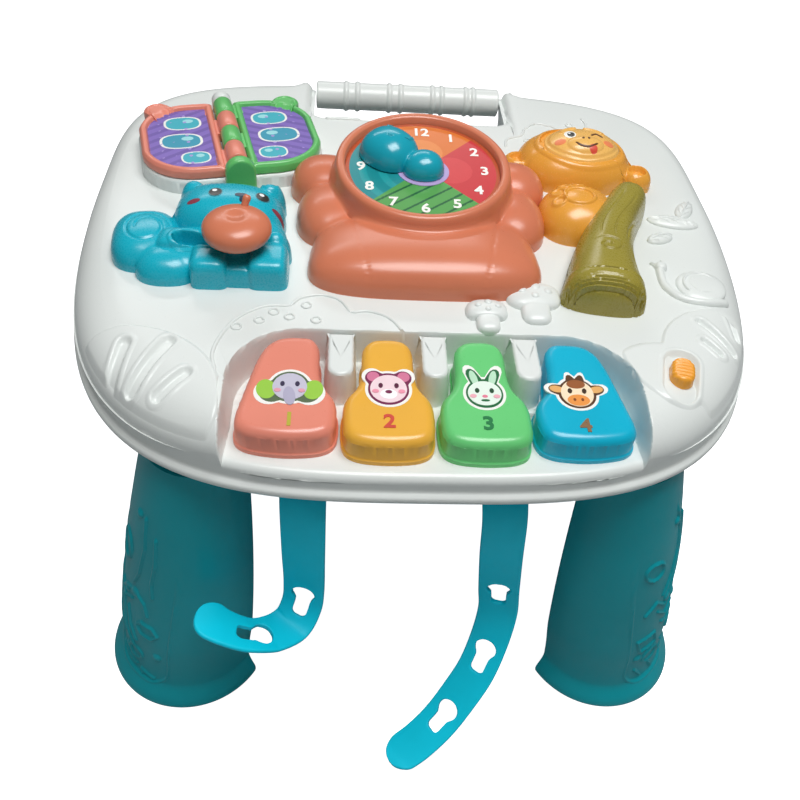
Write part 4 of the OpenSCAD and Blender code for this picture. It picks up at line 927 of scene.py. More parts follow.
def tube_part(path, width, height, surface, sink=0.5):
    """Half-round ridge along a path on a surface: points, quads and triangles."""
    path = np.asarray(path, float)
    length = np.linalg.norm(np.diff(path, axis=0), axis=1).sum()
    path = smooth_path(path, max(8, int(4 + 2.2 * len(path) + length / 1.2)))
    tangent = unit(np.gradient(path, axis=0))
    normal = np.stack([-tangent[:, 1], tangent[:, 0]], 1)
    a = np.linspace(0, math.pi, 9)
    offsets = np.concatenate([[-1], -np.cos(a), [1]])
    lifts = np.concatenate([[-sink], height * np.sin(a), [-sink]])
    taper = np.minimum(1, 0.25 + np.minimum(np.arange(len(path)), np.arange(len(path))[::-1]) * 0.5)
    flat = path[:, None] + normal[:, None] * (offsets[None, :, None] * taper[:, None, None] * width / 2)
    z = surface(flat[..., 0], flat[..., 1]) + np.where(lifts > 0, lifts * taper[:, None], lifts)
    return capped(lifted(flat, z))


def dot_part(x, y, r, h, surface, sink=0.5):
    """Small round button on a surface."""
    a = circle(24)
    s = np.array([1.0, 1.0, 0.92, 0.78, 0.55, 0.28])
    lift = np.array([-sink, 0, 0.45, 0.75, 0.93, 1.0]) * np.array([1, h, h, h, h, h])
    flat = np.array([x, y]) + (s * r)[:, None, None] * np.stack([np.cos(a), np.sin(a)], 1)
    z = surface(flat[..., 0], flat[..., 1]) + lift[:, None]
    return capped(lifted(flat, z))


def joined(name, parts, sharp=50):
    """One mesh from several lots of points, quads and triangles."""
    starts = np.cumsum([0] + [len(p) for p, _, _ in parts])
    return make_mesh(name, np.vstack([p for p, _, _ in parts]),
                     np.vstack([q + s for (_, q, _), s in zip(parts, starts)]),
                             np.vstack([t + s for (_, _, t), s in zip(parts, starts)]), sharp)


def stadium_distance(x, y, cx, cy, length, width, turn):
    """Distance outside a stadium, negative inside; turn is the direction of its length."""
    u, v = turned(x - cx, y - cy, turn)
    return np.hypot(np.maximum(np.abs(u) - (length - width) / 2, 0), v) - width / 2


# ---- raised pads at the front corners, with slots, and the switch's recess
SLOTS_LEFT = [(-109, -93, 21, 5.5, 79), (-97, -95, 28, 5.5, 64), (-88, -105, 17, 5, 47)]
SLOTS_RIGHT = [(114, -72, 21, 3.6, -53), (123.5, -65, 13, 3.2, -86), (110, -79, 11, 3.2, -48)]
SWITCH = (93.5, -95.0, -15.0)


def pad_height(x, y, pad, slots):
    px, py, pr = pad
    rise = 1.25 * smoothstep(0, 2.2, pr - np.hypot(x - px, y - py))
    z = top_height(x, y) + rise - 0.25
    for cx, cy, length, width, turn in slots:
        d = stadium_distance(x, y, cx, cy, length, width, turn)
        z = z - 1.7 * fade(-1.6, 0.3, d) + raised(d - 0.8, 2.2, 0.35)
    return z


def left_pad(x, y):
    return pad_height(x, y, PAD_LEFT, SLOTS_LEFT)


def right_pad(x, y):
    z = pad_height(x, y, PAD_RIGHT, SLOTS_RIGHT)
    d = stadium_distance(x, y, SWITCH[0], SWITCH[1], 26, 13.5, 90 + SWITCH[2])
    hump = 1.1 * smoothstep(0, 3.0, 17 - np.hypot((x - 88) / 1.15, y + 93))
    hump = hump * fade(0, 2.2, PAD_RIGHT[2] - away(x, y, PAD_RIGHT))
    return z + hump - 2.2 * fade(-2.0, 0.2, d) + raised(d - 0.7, 2.0, 0.3)


def pad_piece(name, surface, centre, radius):
    border = EDGE[::8]
    def field(x, y):
        points = np.stack([x, y], -1)
        within = inside(points, border).reshape(np.shape(x))
        return np.where(within, np.minimum(radius - away(x, y, centre), edge_distance(x, y)[0] - 3.0), -5.0)
    rim = rim_of(field, centre, radius + 2, 300, 0.0, 260)
    rim_wall = well_distance(rim[:, 0], rim[:, 1])
    pull = np.clip((1.5 - rim_wall) / 20, 0, 0.4)[:, None]
    rim = rim + (np.asarray(centre) - rim) * pull
    steps = np.linspace(0.012, 1, 84)
    low = lambda x, y: top_height(x, y) - 1.4
    def top(x, y):
        inner = smoothstep(0, 2.0, radius - away(x, y, centre))
        inner = inner * smoothstep(3.0, 5.5, edge_distance(x, y)[0])
        return top_height(x, y) - 0.3 + (surface(x, y) - top_height(x, y) + 0.3) * inner
    return disc_grid(name, centre, rim, top, low, steps, 60)


white(pad_piece("pad_left", left_pad, (-104.0, -104.0), 37.0))
white(pad_piece("pad_right", right_pad, (104.0, -84.0), 31.0))

# ---- small raised pictures on the white top
lines = []
for part in ([(-74, -99), (-76, -90), (-74, -80), (-69, -70), (-60, -63), (-50, -62)],
             [(-50, -62), (-46, -57), (-38, -55), (-31, -58), (-27, -65)],
             [(-27, -65), (-20, -64), (-12, -68), (-6, -78)], [(48, 65), (50, 73), (57, 77), (60, 84)],
             [(60, 84), (66, 90), (74, 88), (80, 82)],
             [(80, 82), (88, 84), (93, 90), (92, 98)]):
    lines.append(tube_part(part, 1.5, 0.75, top_height))
for x, y in ((-69, -75), (-44, -61.5), (-50, -68.5), (-40, -70), (-61, -71), (-56, -66), (60, 72),
             (72, 80), (84, 90)):
    lines.append(tube_part(ring_line(x, y, 1.7, n=16), 1.0, 0.7, top_height))
lines.append(tube_part([(-41, 86), (-35, 86.5), (-29, 86.5), (-23, 86)], 3.2, 1.2, top_height))
# snail: a spiral shell, a long body and a head with a knob
shell_line = spiral(116, -42, 0.9, 0.9, 0.42, 0.42, 0.3, 5.2 * math.pi, 70)
lines.append(tube_part(shell_line, 1.5, 1.3, lambda x, y: top_height(x, y) + 1.2))
lines.append(tube_part([(126, -50), (116, -52.5), (106, -50), (101, -43), (101, -34), (102, -30)], 3.6,
                       2.0, top_height))
lines.append(dot_part(102, -30, 2.8, 2.6, top_height))
lines.append(tube_part([(101, -30), (98, -27)], 1.2, 1.6, top_height))
lines.append(tube_part([(103, -29), (103, -25.5)], 1.2, 1.6, top_height))
white(joined("raised_lines", lines))
white(hill("snail_shell", lambda x, y: bump(x, y, 116, -42, 10.2, 9.8, 2.6, 0, 2.2, 2.2), (116, -42), 16,
           -0.8, 120, 12, 20, 3))


def mushroom(name, cx, cy, w, stem):
    """Pillow cap with round dots over a short stem."""
    def field(x, y):
        cap = bump(x, y, cx, cy, w, w * 0.72, 4.2, 0, 2.6, 2.6)
        cut = bump(x, y, cx, cy + 3, w * 1.3, w * 0.95, 5.0, 0, 4, 3)
        foot = bump(x, y, cx, cy - w * 0.85, stem, w * 0.62, 3.2, 0, 3.0, 2.6)
        z = soft_max([np.minimum(cap, cut), foot], 0.25)
        for dx, dy, r in ((-0.45, 0.05, 0.16), (0.05, 0.28, 0.19), (0.5, 0.0, 0.15), (0.0, -0.25, 0.14)):
            z = z + 0.75 * dome(away(x, y, (cx + dx * w, cy + dy * w)) / (r * w))
        return z
    return hill(name, field, (cx, cy - 0.25 * w), w * 2.2, -0.8, 200, 18, 34, 3)


white(mushroom("mushroom_small", 25, -63, 8.2, 4.6))
white(mushroom("mushroom_large", 44.5, -53, 11.0, 5.8))


def leaf(name, cx, cy, rx, ry, turn):
    def field(x, y):
        u, v = turned(x - cx, y - cy, turn)
        body = bump(x, y, cx, cy, rx, ry, 2.4, turn, 1.9, 2.4)
        vein = np.maximum(raised(v, 0.9, 0.6), raised(np.abs(v) - 0.55 * np.mod(u + 40, 4.2), 0.7, 0.4))
        return body + vein * (body > 0.6)
    return hill(name, field, (cx, cy), rx * 1.4, -0.8, 180, 14, 34, 3)


white(leaf("leaf_long", 116, 4, 11.5, 4.8, -10))
white(leaf("leaf_short", 107, -9, 6.5, 3.6, 22))
white(leaf("leaf_upper", 124, 14, 7.5, 3.8, 60))

# ---- clock housing
CLOCK, DIAL_Z, LEAN = (2.5, 7.0), 19.0, 5.5
SEAT_R, RING_R, RIM_R = 33.1, 34.9, 36.6


def housing(x, y):
    """Ringed dial seat over four side lobes and a skirt that spreads to the keyboard."""
    u, v = x - CLOCK[0], y - CLOCK[1]
    r = np.hypot(u, v)
    tilt = math.tan(math.radians(LEAN)) * v
    rim = DIAL_Z + 4.4 + tilt
    wall = np.interp(r, [RIM_R, 37.3, 38.3, 40.0, 42.5, 46.0, 60],
                     [1, 0.9, 0.68, 0.42, 0.2, -0.02, -3]) * rim
    ring = rim - 0.9 * np.abs((r - RING_R) / 1.9) ** 3
    cup = np.where(r < SEAT_R, DIAL_Z - 0.5 + tilt, ring)
    seat = np.where(r < RIM_R, cup, np.minimum(wall, ring))
    lobes = [bump(x, y, CLOCK[0] + s * 41, 19, 15.5, 15, 15, 0, 2.3, 2.5) for s in (-1, 1)]
    lobes += [bump(x, y, CLOCK[0] + s * 38, -6, 15, 19, 14, 0, 2.3, 2.5) for s in (-1, 1)]
    skirt = bump(x, y, CLOCK[0], -34, 46.5 + 0.10 * (-y - 34), 22.5, 14.5, 0, 3.4, 2.6)
    collar = bump(x, y, CLOCK[0], 2, 46, 44, 12, 0, 2.2, 2.0)
    around = soft_max(lobes + [skirt, collar], 1.1)
    groove = raised(np.abs(u) - 27 - 0.2 * (y + 34), 0.9, 0.35) * (y < -20)
    outside = soft_max([np.where(r > RING_R, seat, -50), around - groove], 0.9)
    return np.where(r > RING_R, outside, seat)


def housing_piece():
    rim = rim_of(housing, CLOCK, 75, 420)
    span = np.linalg.norm(rim - np.array(CLOCK), axis=1)
    inner = np.concatenate([np.linspace(2, 32.6, 12),
                            [33.0, 33.15, 33.4, 33.8, 34.3, 34.9, 35.4, 35.9, 36.3, 36.6, 36.8, 37.1, 37.5,
                             38.0, 38.7, 39.6]])
    edge = 7.0 * (1 - np.cos(np.linspace(0, math.pi / 2, 34)))
    edge = np.minimum(edge[:, None], (span - 39.6) * 0.85)
    mid = 39.6 + np.linspace(0, 1, 26)[1:-1, None] * (span - edge[-1] - 39.6)
    r = np.concatenate([np.repeat(inner[:, None], len(rim), 1), mid, span - edge[::-1]], 0)
    return disc_grid("clock_housing_skin", CLOCK, rim, lambda x, y: np.maximum(housing(x, y), -0.35),
                             plane(UNDER), r / span, 60)


piece(housing_piece(), CORAL, replaces=["clock_housing"])

ON_DIAL = (spin(LEAN, "x"), (CLOCK[0], CLOCK[1], DIAL_Z))
SECTORS = [(-45, 45, "#E07A34", "#E88C48"), (45, 135, "#CE3B40", "#D8474A"),
           (135, 225, "#57A351", "#1F6338"), (225, 315, "#188C92", "#209CA0")]


def dial_color(x, y):
    """Four sectors; each has a second tone in rings or slanting stripes."""
    r, t = np.hypot(x, y), np.degrees(np.arctan2(x, y))
    out = np.empty((len(x), 3))
    out[:] = srgb("#F7F3EA")
    for a0, a1, first, second in SECTORS:
        turn_in = (t - a0) % 360
        hit = turn_in < (a1 - a0)
        if a0 == 135:
            mix = (np.mod(-x * 0.62 + y * 0.78, 5.6) < 1.0)
        elif a0 == 225:
            mix = np.mod(r, 8) < 3.4
        else:
            mix = np.hypot(x - 12 * math.sin(math.radians(a0 + 45)),
                           y - 12 * math.cos(math.radians(a0 + 45))) < 9
        out[hit] = np.where(mix[hit, None], srgb(second), srgb(first))
    edge = (r > 31.4)
    out[edge] = srgb("#B9532F")
    return out


def dial_piece():
    a = np.radians(np.arange(0, 360, 0.75))
    rim = 32.9 * np.stack([np.cos(a), np.sin(a)], 1)
    steps = np.linspace(0.01, 1, 110)
    obj = disc_grid("dial_print_sheet", (0.0, 0.0), rim, plane(1.05), plane(0.0), steps, 40, dial_color)
    return laid(obj, *ON_DIAL)


piece(dial_piece(), PRINT, replaces=["clock_dial"])
LILAC_INK = plastic("lilac_ink", "#B7A3D4")
WHITE_INK = plastic("white_ink", "#FBFAF4")


def number(name, text, size, x, y, place, material, body="table"):
    """Plain numeral as a thin raised shape; place takes flat points with a height to the table frame."""
    curve = bpy.data.curves.new(name, "FONT")
    curve.body, curve.size, curve.align_x, curve.align_y = text, size, "CENTER", "CENTER"
    curve.extrude, curve.offset, curve.resolution_u = 0.12, size * 0.028, 4
    source = linked(name + "_source", curve)
    bpy.context.view_layer.update()
    mesh = bpy.data.meshes.new_from_object(source)
    bpy.data.objects.remove(source)
    move_points(mesh, lambda co: place(co + (x, y, 0)))
    mesh.name = name
    obj = linked(name, mesh)
    return piece(obj, material, body)


def on_dial(points):
    return (points + (0, 0, 1.12)) @ ON_DIAL[0].T + ON_DIAL[1]


for k in range(12):
    angle = math.radians(30 * (k + 1))
    number("numeral_%d" % (k + 1), str(k + 1), 7.6, 26.3 * math.sin(angle), 26.3 * math.cos(angle),
           on_dial, WHITE_INK)
piece(laid(disc_grid("dial_hub_ring", (0.0, -1.5), round_rim(0, -1.5, 11.0, 10.2, 72), plane(1.35),
                     plane(0.6), np.linspace(0.1, 1, 8), 40), *ON_DIAL),
      LILAC_INK)


def hand_top(x, y):
    """Big knob, small dome over the pivot and a neck between them."""
    t = math.radians(60)
    kx, ky = -16.5 * math.sin(t), 16.5 * math.cos(t)
    knob = 2.0 + bump(x, y, kx, ky, 11.6, 12.6, 10.6, 50, 2.3, 2.1)
    knob = knob + raised(np.hypot(x - kx - 3.5, y - ky - 3.5) - 6.5, 1.4, 0.5) * (y > ky - 2) * (x > kx - 1)
    hub = 2.0 + bump(x, y, 0, -1.5, 8.8, 8.0, 8.0, 0, 2.2, 2.1)
    neck = 2.0 + bump(x, y, kx / 2, ky / 2 - 0.5, 5.0, 9.0, 4.0, 58, 2.6, 2.2)
    return soft_max([knob, hub, neck], 0.5)


hand = hill("clock_hand_skin", hand_top, (-6.5, 6.5), 30, 1.7, 260, 22, 48, 5, 60, base=2.0)
piece(laid(hand, *ON_DIAL), HAND_TEAL, "clock_hand", ["clock_hand"])


# ---- numbered stickers on the keys


def on_key(i):
    top = key_surface(i)
    return lambda p: np.stack([p[:, 0], p[:, 1], p[:, 2] + top(p[:, 0], p[:, 1]) + 0.12], 1)


def blob(cx, cy, r, lobes=(), n=72):
    """Outline round a face: a circle with round lobes (angle, reach, width)."""
    a = circle(n)
    radius = np.full(n, float(r))
    for angle, reach, width in lobes:
        d = np.abs((np.degrees(a) - angle + 180) % 360 - 180) / width
        radius += reach * np.clip(1 - d ** 2, 0, 1) ** 0.8
    return np.stack([cx + radius * np.cos(a), cy + radius * np.sin(a)], 1)


def print_at(name, i, rim, lift, colour):
    """Printed shape on a key's pillowed top."""
    return piece(decal(name, key_surface(i), rim, lift, colour), PRINT, "key_" + KEY_NAMES[i])


KEY_NAMES = ("coral", "yellow", "green", "blue")


def sticker(i, dx, dy, r, edge, lobes, parts):
    """White-edged face of shapes (x, y, rx, ry, turn, colour) laid over one another.

    A shape to the left of the middle is drawn again, mirrored, on the right.
    """
    middle = np.array([key_x(i) + dx, -103.0 + dy])
    outline = blob(0, 0, r, lobes)
    print_at("sticker_%d_edge" % i, i, middle + outline * (1 + 1.5 / r), 0.10, "#F7F7F2")
    print_at("sticker_%d_line" % i, i, middle + outline * (1 + 0.45 / r), 0.16, edge)
    both = [q for p in parts for q in ([p, (-p[0], *p[1:4], -p[4], p[5])] if p[0] < 0 else [p])]
    for k, (x, y, rx, ry, turn, colour) in enumerate(both):
        rim = round_rim(middle[0] + x, middle[1] + y, rx, ry, 40, turn)
        print_at("sticker_%d_part_%d" % (i, k), i, rim, 0.21 + 0.05 * k, colour)


# elephant-like, bear-like, rabbit-like and calf-like faces, each in plain shapes
sticker(0, -0.5, 0, 6.4, "#5A6E4E", [(200, 4.0, 42), (-20, 4.0, 42)], [
    (-8.2, -1.2, 3.4, 4.4, 12, "#9CD04A"), (0, 0, 6.0, 6.0, 0, "#C9C6D8"),
    (0, -4.2, 2.1, 4.2, 8, "#B4B0C8"),
    (-2.6, 1.2, 0.8, 1.1, 0, "#3B3450"), (-4.2, -1.8, 1.2, 0.8, 0, "#E7A3B4")])
sticker(1, 0, 0, 6.8, "#7A2450", [(45, 3.0, 26), (135, 3.0, 26)], [
    (-5.4, 5.6, 2.2, 2.2, 0, "#D77A9C"), (0, 0, 6.5, 6.3, 0, "#F6DCE2"), (0, -2.4, 3.0, 2.2, 0, "#FFFFFF"),
    (0, -1.4, 1.2, 0.8, 0, "#7A2450"), (-2.8, 1.4, 0.8, 1.1, 0, "#5A1B3C"),
    (-4.6, -1.2, 1.2, 0.8, 0, "#F29AB0")])
sticker(2, 0, -1, 6.2, "#1D6B3C", [(65, 5.4, 17), (115, 5.4, 17)], [
    (-3.4, 7.0, 1.3, 3.6, 14, "#BFE7C9"), (0, 0, 6.0, 5.6, 0, "#E9F8EC"), (0, -1.4, 1.0, 0.7, 0, "#E8829A"),
    (-2.6, 1.2, 0.8, 1.1, 0, "#1D4B2C"), (-4.2, -1.4, 1.2, 0.8, 0, "#F3B0BE"),
    (0, -3.4, 1.5, 0.4, 0, "#1D6B3C")])
sticker(3, -0.5, 0, 6.4, "#5B3A22", [(165, 3.4, 18), (15, 3.4, 18), (75, 2.0, 12), (105, 2.0, 12)], [
    (-7.2, 2.0, 2.6, 1.5, -14, "#E9B06A"), (0, 0, 5.9, 6.1, 0, "#FBE7C6"), (0, 4.2, 3.4, 2.0, 0, "#9A5A2E"),
    (0, -3.2, 4.0, 2.6, 0, "#F09A4A"), (-1.4, -3.0, 0.5, 0.7, 0, "#8A4A22"),
    (-2.6, 1.0, 0.8, 1.1, 0, "#3E2A18")])
for i, colour in enumerate(("#B9B13A", "#D24A3A", "#1F7A45", "#8A6B4A")):
    ink = plastic("ink_%d" % (i + 1), colour)
    number("key_number_%d" % (i + 1), str(i + 1), 8.5, key_x(i), -118.2, on_key(i), ink,
           "key_" + KEY_NAMES[i])


# ---- squirrel with its apple
def squirrel_height(x, y):
    """Back, haunch, two feet with blunt fronts, chest, head and ears, with the apple's slot sunk in."""
    tail = bump(x, y, -109, -28, 13.8, 17.0, 11.5, 6, 2.6, 2.4)
    back = bump(x, y, -80, -35, 24, 14.5, 10.0, 0, 3.0, 2.6)
    haunch = bump(x, y, -98.5, -42.5, 12.5, 10.5, 9.5, 0, 2.4, 2.2)
    feet = [bump(x, y, -81.6, -44.8, 7.4, 9.2, 11.6, 0, 5.0, 4.5),
            bump(x, y, -59.3, -44.4, 7.8, 9.2, 11.6, 0, 5.0, 4.5)]
    lap = bump(x, y, -70.4, -42, 6.5, 10.4, 8.6, 0, 5.0, 4.5)
    arms = [bump(x, y, -93.6, -35.2, 9.8, 6.4, 12.4, 0, 5.0, 4.0),
            bump(x, y, -57.5, -33.5, 6.6, 6.2, 13.2, 0, 2.2, 2.2)]
    chest = bump(x, y, -70, -28, 17, 15, 11.5, 0, 2.8, 2.8)
    head = bump(x, y, -77.3, -12.6, 22.8, 15.6, 17.4, -2, 2.6, 2.8)
    ears = [bump(x, y, -92.5, -2.6, 6.6, 6.0, 15.0, 0, 2.2, 2.4),
            bump(x, y, -61.5, -1.2, 6.6, 6.0, 15.0, 0, 2.2, 2.4)]
    z = soft_max([tail, back, haunch, lap, chest, head] + feet + arms + ears, 0.45)
    u, v = turned(x - APPLE[0], y - APPLE[1], APPLE[2])
    d = np.hypot(np.maximum(np.maximum(u, -u - 22), 0), v) - 3.4
    slot_cut = 1 - smoothstep(-0.5, 0.25, d)
    rim = raised(d - 1.1, 2.2, 0.5)
    z = z - 1.0 * fade(2.2, 3.4, np.hypot(x + 61.5, y - 0.4))
    curl = line_distance(x, y, [spiral(-108, -29, 9.5, 11, -0.55, -0.65, 0.4, 9.5, 46)])
    z = z - 0.55 * fade(0.2, 0.9, curl) * (x < -97)
    floor_z = np.where(z > 3, 6.0, np.minimum(z, 0))
    return (z + rim * (z > 3)) * (1 - slot_cut) + floor_z * slot_cut


APPLE = (-71.0, -38.5, -4.0)
piece(hill("squirrel_skin", squirrel_height, (-80.0, -28.0), 58, UNDER, 420, 26, 150, 7), SQUIRREL,
      replaces=["squirrel"])


def apple_piece():
    """Apple's body: squat and round, with a dimple at its top."""
    a = circle(64)
    t = np.linspace(-math.pi / 2, math.pi / 2, 40)
    r = np.cos(t) ** 0.82
    z = 19.2 + 6.2 * np.sign(np.sin(t)) * np.abs(np.sin(t)) ** 0.9 - 1.5 * np.exp(-(r / 0.2) ** 2) * (t > 0)
    rings = [np.stack([APPLE[0] + 13.2 * ri * np.cos(a), APPLE[1] - 2.0 + 13.0 * ri * np.sin(a),
                       np.full(64, zi)], 1) for ri, zi in zip(r, z)]
    return sweep_closed("apple_skin", np.array(rings)[1:-1], 60)


def tapered(path, radii, n=16):
    """Rings of a round rod of changing thickness along a path in space."""
    d = unit(np.gradient(path, axis=0))
    side = unit(np.cross(d, (0.31, 0.9, 0.2)))
    a, r = circle(n)[:, None], np.asarray(radii, float)[:, None, None]
    return path[:, None] + r * (side[:, None] * np.cos(a) + np.cross(side, d)[:, None] * np.sin(a))


piece(apple_piece(), CORAL, "apple", ["apple_slider"])
stalk = smooth_path(np.array([(-69.0, -33.5, 22.0), (-68.2, -31.8, 25.0), (-67.2, -30.2, 27.6)]), 10)
stalk_rings = tapered(stalk, [1.9, 1.6, 1.5, 1.4, 1.4, 1.4, 1.5, 1.6, 1.5, 0.9])
stem = round_rim(APPLE[0], APPLE[1], 2.4, 2.4, 24)
for name, rings, sharp in (("apple_stalk", stalk_rings, 60),
                           ("apple_stem", [lifted(stem, z) for z in (6.0, 10.0, 16.5)], 40)):
    piece(sweep_closed(name, rings, sharp), CORAL, "apple")

INK_DARK, INK_BLUE = "#2B2A28", "#16324A"


def squirrel_print(name, x, y, rx, ry, n, lift, colour, power=2.0):
    rim = round_rim(x, y, rx, ry, n, 0, power)
    piece(decal("squirrel_" + name, squirrel_height, rim, lift, colour), PRINT)


for side, ex, cheek_x in ((1, -82.3, -90.6), (3, -63.5, -56.86)):
    squirrel_print("eye_%d" % side, ex, -12.8, 2.9, 3.1, 40, 0.12, "#3A8E9C")
    squirrel_print("pupil_%d" % side, ex, -12.8, 2.5, 2.7, 32, 0.2, INK_DARK)
    squirrel_print("glint_%d" % side, ex - 0.4, -11.7, 1.0, 0.9, 24, 0.28, "#FFFFFF")
    squirrel_print("cheek_%d" % side, cheek_x, -17.2, 2.7, 1.3, 32, 0.12, "#8E3A4A")
squirrel_print("nose", -71.8, -14.2, 2.6, 1.2, 32, 0.2, INK_BLUE, 2.6)
squirrel_print("lip", -71.7, -16.6, 0.7, 1.9, 24, 0.16, INK_BLUE)


# ---- monkey and tree trunk
def trunk_axis(t):
    return 97 + (71.5 - 97) * t - 5 * np.sin(math.pi * t), 12 - 69 * t


def trunk_place(x, y):
    """Share along the trunk and the distance across it, from its top to its roots."""
    ts = np.linspace(-0.06, 1.06, 90)
    ax, ay = trunk_axis(ts)
    d = np.hypot(np.asarray(x)[..., None] - ax, np.asarray(y)[..., None] - ay)
    k = d.argmin(-1)
    t = ts[k]
    cx, cy = trunk_axis(t)
    tx, ty = trunk_axis(t + 0.01)
    dx, dy = tx - cx, ty - cy
    n = np.hypot(dx, dy)
    return t, ((x - cx) * dy - (y - cy) * dx) / n, ((x - cx) * dx + (y - cy) * dy) / n


def trunk_height(x, y):
    """Rounded ridge with a band round its foot, bark lines and a knot swirl."""
    t, across, past = trunk_place(x, y)
    half = 8.4 + 5 * t + 3.8 * np.clip(t, 0, 2) ** 3
    end = np.maximum(np.maximum(-t * 70 - 2.0, (t - 1) * 70 - 5.5),
                     -100.0) + np.where((t <= -0.055) | (t >= 1.055), np.abs(past), 0)
    rho = (np.abs(across / half) ** 2.6 + np.clip(1 + end / 9.0, 0, 9) ** 2.6) ** (1 / 2.6)
    z = np.where(rho < 1, 17 * np.clip(1 - rho ** 2.8, 0, 1) ** (1 / 2.4), -(rho - 1) * 60)
    grain = np.abs(np.mod(across * 0.9 + 1.2 * np.sin(t * 9), 5.0) - 2.5)
    mark = 0.5 * fade(0.1, 0.55, grain) * smoothstep(0.12, 0.2, t)
    mark = mark * fade(0.55, 0.62, t)
    kx, ky = trunk_axis(0.72)
    swirl = line_distance(x, y, [spiral(kx, ky, 0.5, 0.4, 0.75, 0.6, 0.5, 8.6, 40)])
    mark = mark + 0.65 * fade(0.15, 0.7, swirl)
    return z - mark * (z > 4) + raised((t - 0.94) * 70, 2.4, 0.6) * (z > 3)


piece(hill("trunk_skin", trunk_height, (77.0, -24.0), 56, UNDER, 420, 26, 130, 6), OLIVE,
      replaces=["tree_trunk"])
MONKEY, BUTTON, HAND = (77.0, 44.0), (79.0, 44.0), (71.0, 0.0)


def monkey_height(x, y):
    """Oval head with a seat for the face plate, and two ring ears."""
    head = bump(x, y, MONKEY[0], MONKEY[1], 27.2, 21.2, 17.2, 0, 2.3, 2.5)
    cut = np.hypot((x - BUTTON[0]) / 19.6, (y - BUTTON[1]) / 15.6)
    head = head + raised((cut - 1.06) * 17, 2.6, 0.7)
    head = np.where(cut < 1, np.minimum(head, 13.5), head)
    ears = []
    for ex, ey in ((-27, -2), (28, -10)):
        ear = bump(x, y, MONKEY[0] + ex, MONKEY[1] + ey, 7.4, 7.4, 9.5, 0, 2.2, 3.0)
        dip = 3.4 * fade(3.0, 4.4, np.hypot(x - MONKEY[0] - ex, y - MONKEY[1] - ey))
        ears.append(ear - dip)
    return soft_max([head] + ears, 0.5)


def face_height(x, y):
    """Face plate with a rim line; it stands a little over the head."""
    plate = 9.0 + bump(x, y, BUTTON[0], BUTTON[1], 18.6, 14.6, 10.2, 0, 2.2, 2.6)
    d = 1 - np.hypot((x - BUTTON[0]) / 18.6, (y - BUTTON[1]) / 14.6)
    brow = raised(np.hypot((x - BUTTON[0]) / 1.25, y - BUTTON[1] - 1) - 8.5, 2.0,
                  0.8) * (y > BUTTON[1] + 4) * (np.abs(x - BUTTON[0]) > 2)
    muzzle = 1.5 * dome(np.hypot((x - BUTTON[0]) / 8.5, (y - BUTTON[1] + 6.0) / 5.2))
    return plate - raised((d - 0.13) * 16, 1.4, 0.45) + brow + muzzle


piece(hill("monkey_skin", monkey_height, MONKEY, 40, UNDER, 360, 26, 90, 6), AMBER,
      replaces=["monkey_head"])
piece(hill("face_skin", face_height, BUTTON, 21, 8.0, 220, 22, 60, 4, 60, None, 9.0), FACE, "face_button",
      ["face_button"])


def face_print(name, rim, lift, colour):
    piece(decal(name, face_height, rim, lift, colour), PRINT, "face_button")


bx, by = BUTTON
face_print("monkey_eye", round_rim(bx - 6.2, by + 1.2, 2.7, 3.2, 40), 0.12, "#FBFAF2")
face_print("monkey_pupil", round_rim(bx - 5.8, by + 0.9, 1.7, 2.2, 32), 0.2, INK_DARK)
face_print("monkey_glint", round_rim(bx - 6.4, by + 1.8, 0.55, 0.6, 20), 0.28, "#FFFFFF")
wink = tube_part([(bx + 3.4, by + 0.4), (bx + 6.2, by + 2.4), (bx + 9.2, by + 0.2)], 1.1, 0.35,
                 face_height, 0.3)
smile = tube_part([(bx - 5.0, by - 6.6), (bx - 2.5, by - 8.6), (bx + 1.5, by - 9.0), (bx + 5.4, by - 6.8)],
                  0.9, 0.3, face_height, 0.3)
BROWN_INK = plastic("brown_ink", "#5B3418")
piece(joined("monkey_lines", [wink, smile, dot_part(bx - 1.2, by - 4.2, 0.6, 0.4, face_height),
                              dot_part(bx + 1.4, by - 4.2, 0.6, 0.4, face_height)]), BROWN_INK,
                              "face_button")
face_print("monkey_tongue", round_rim(bx + 3.0, by - 9.6, 1.9, 1.7, 32), 0.16, "#E2543F")
for s in (-1, 1):
    face_print("monkey_cheek_%d" % (s + 2), round_rim(bx + 11.3 * s, by - 3.8, 2.5, 1.9, 32), 0.12,
               "#F08A5A")


def paw_height(x, y):
    """Round paw beside the trunk with pads pressed into it."""
    z = bump(x, y, HAND[0], HAND[1], 17.4, 17.2, 15.4, 0, 2.3, 2.4)
    for dx, dy, r in ((-9.5, 3.5, 2.6), (-6.0, 9.0, 2.5), (0.2, 11.5, 2.5), (-10.0, -3.0, 2.4)):
        z = z + raised(np.hypot(x - HAND[0] - dx, y - HAND[1] - dy) - r, 1.5, 0.9) * (z > 4)
    z = z + raised(np.hypot((x - HAND[0] + 1) / 1.15, y - HAND[1] + 0.5) - 5.6, 1.8, 0.9) * (z > 4)
    return z


piece(hill("paw_skin", paw_height, HAND, 24, UNDER, 260, 24, 70, 6), AMBER,
      replaces=["monkey_hand"])


# ---- book
BOOK, PIN_Z, KNUCKLE = (spin(13.5), (-83.0, 46.0, 0.0)), 11.5, 13.5
MIRROR = np.diag([-1.0, 1.0, 1.0])


def half_page(g=0.0):
    """D-shaped page beside the spine, drawn out by g; the ear is a circle on its rear edge."""
    return np.vstack([[[5 - g, -30 - g]], arc(17, -7, 23 + g, -90, -10, 30),
                      arc(17, 7, 23 + g, 10, 90, 30), [[5 - g, 30 + g]]])


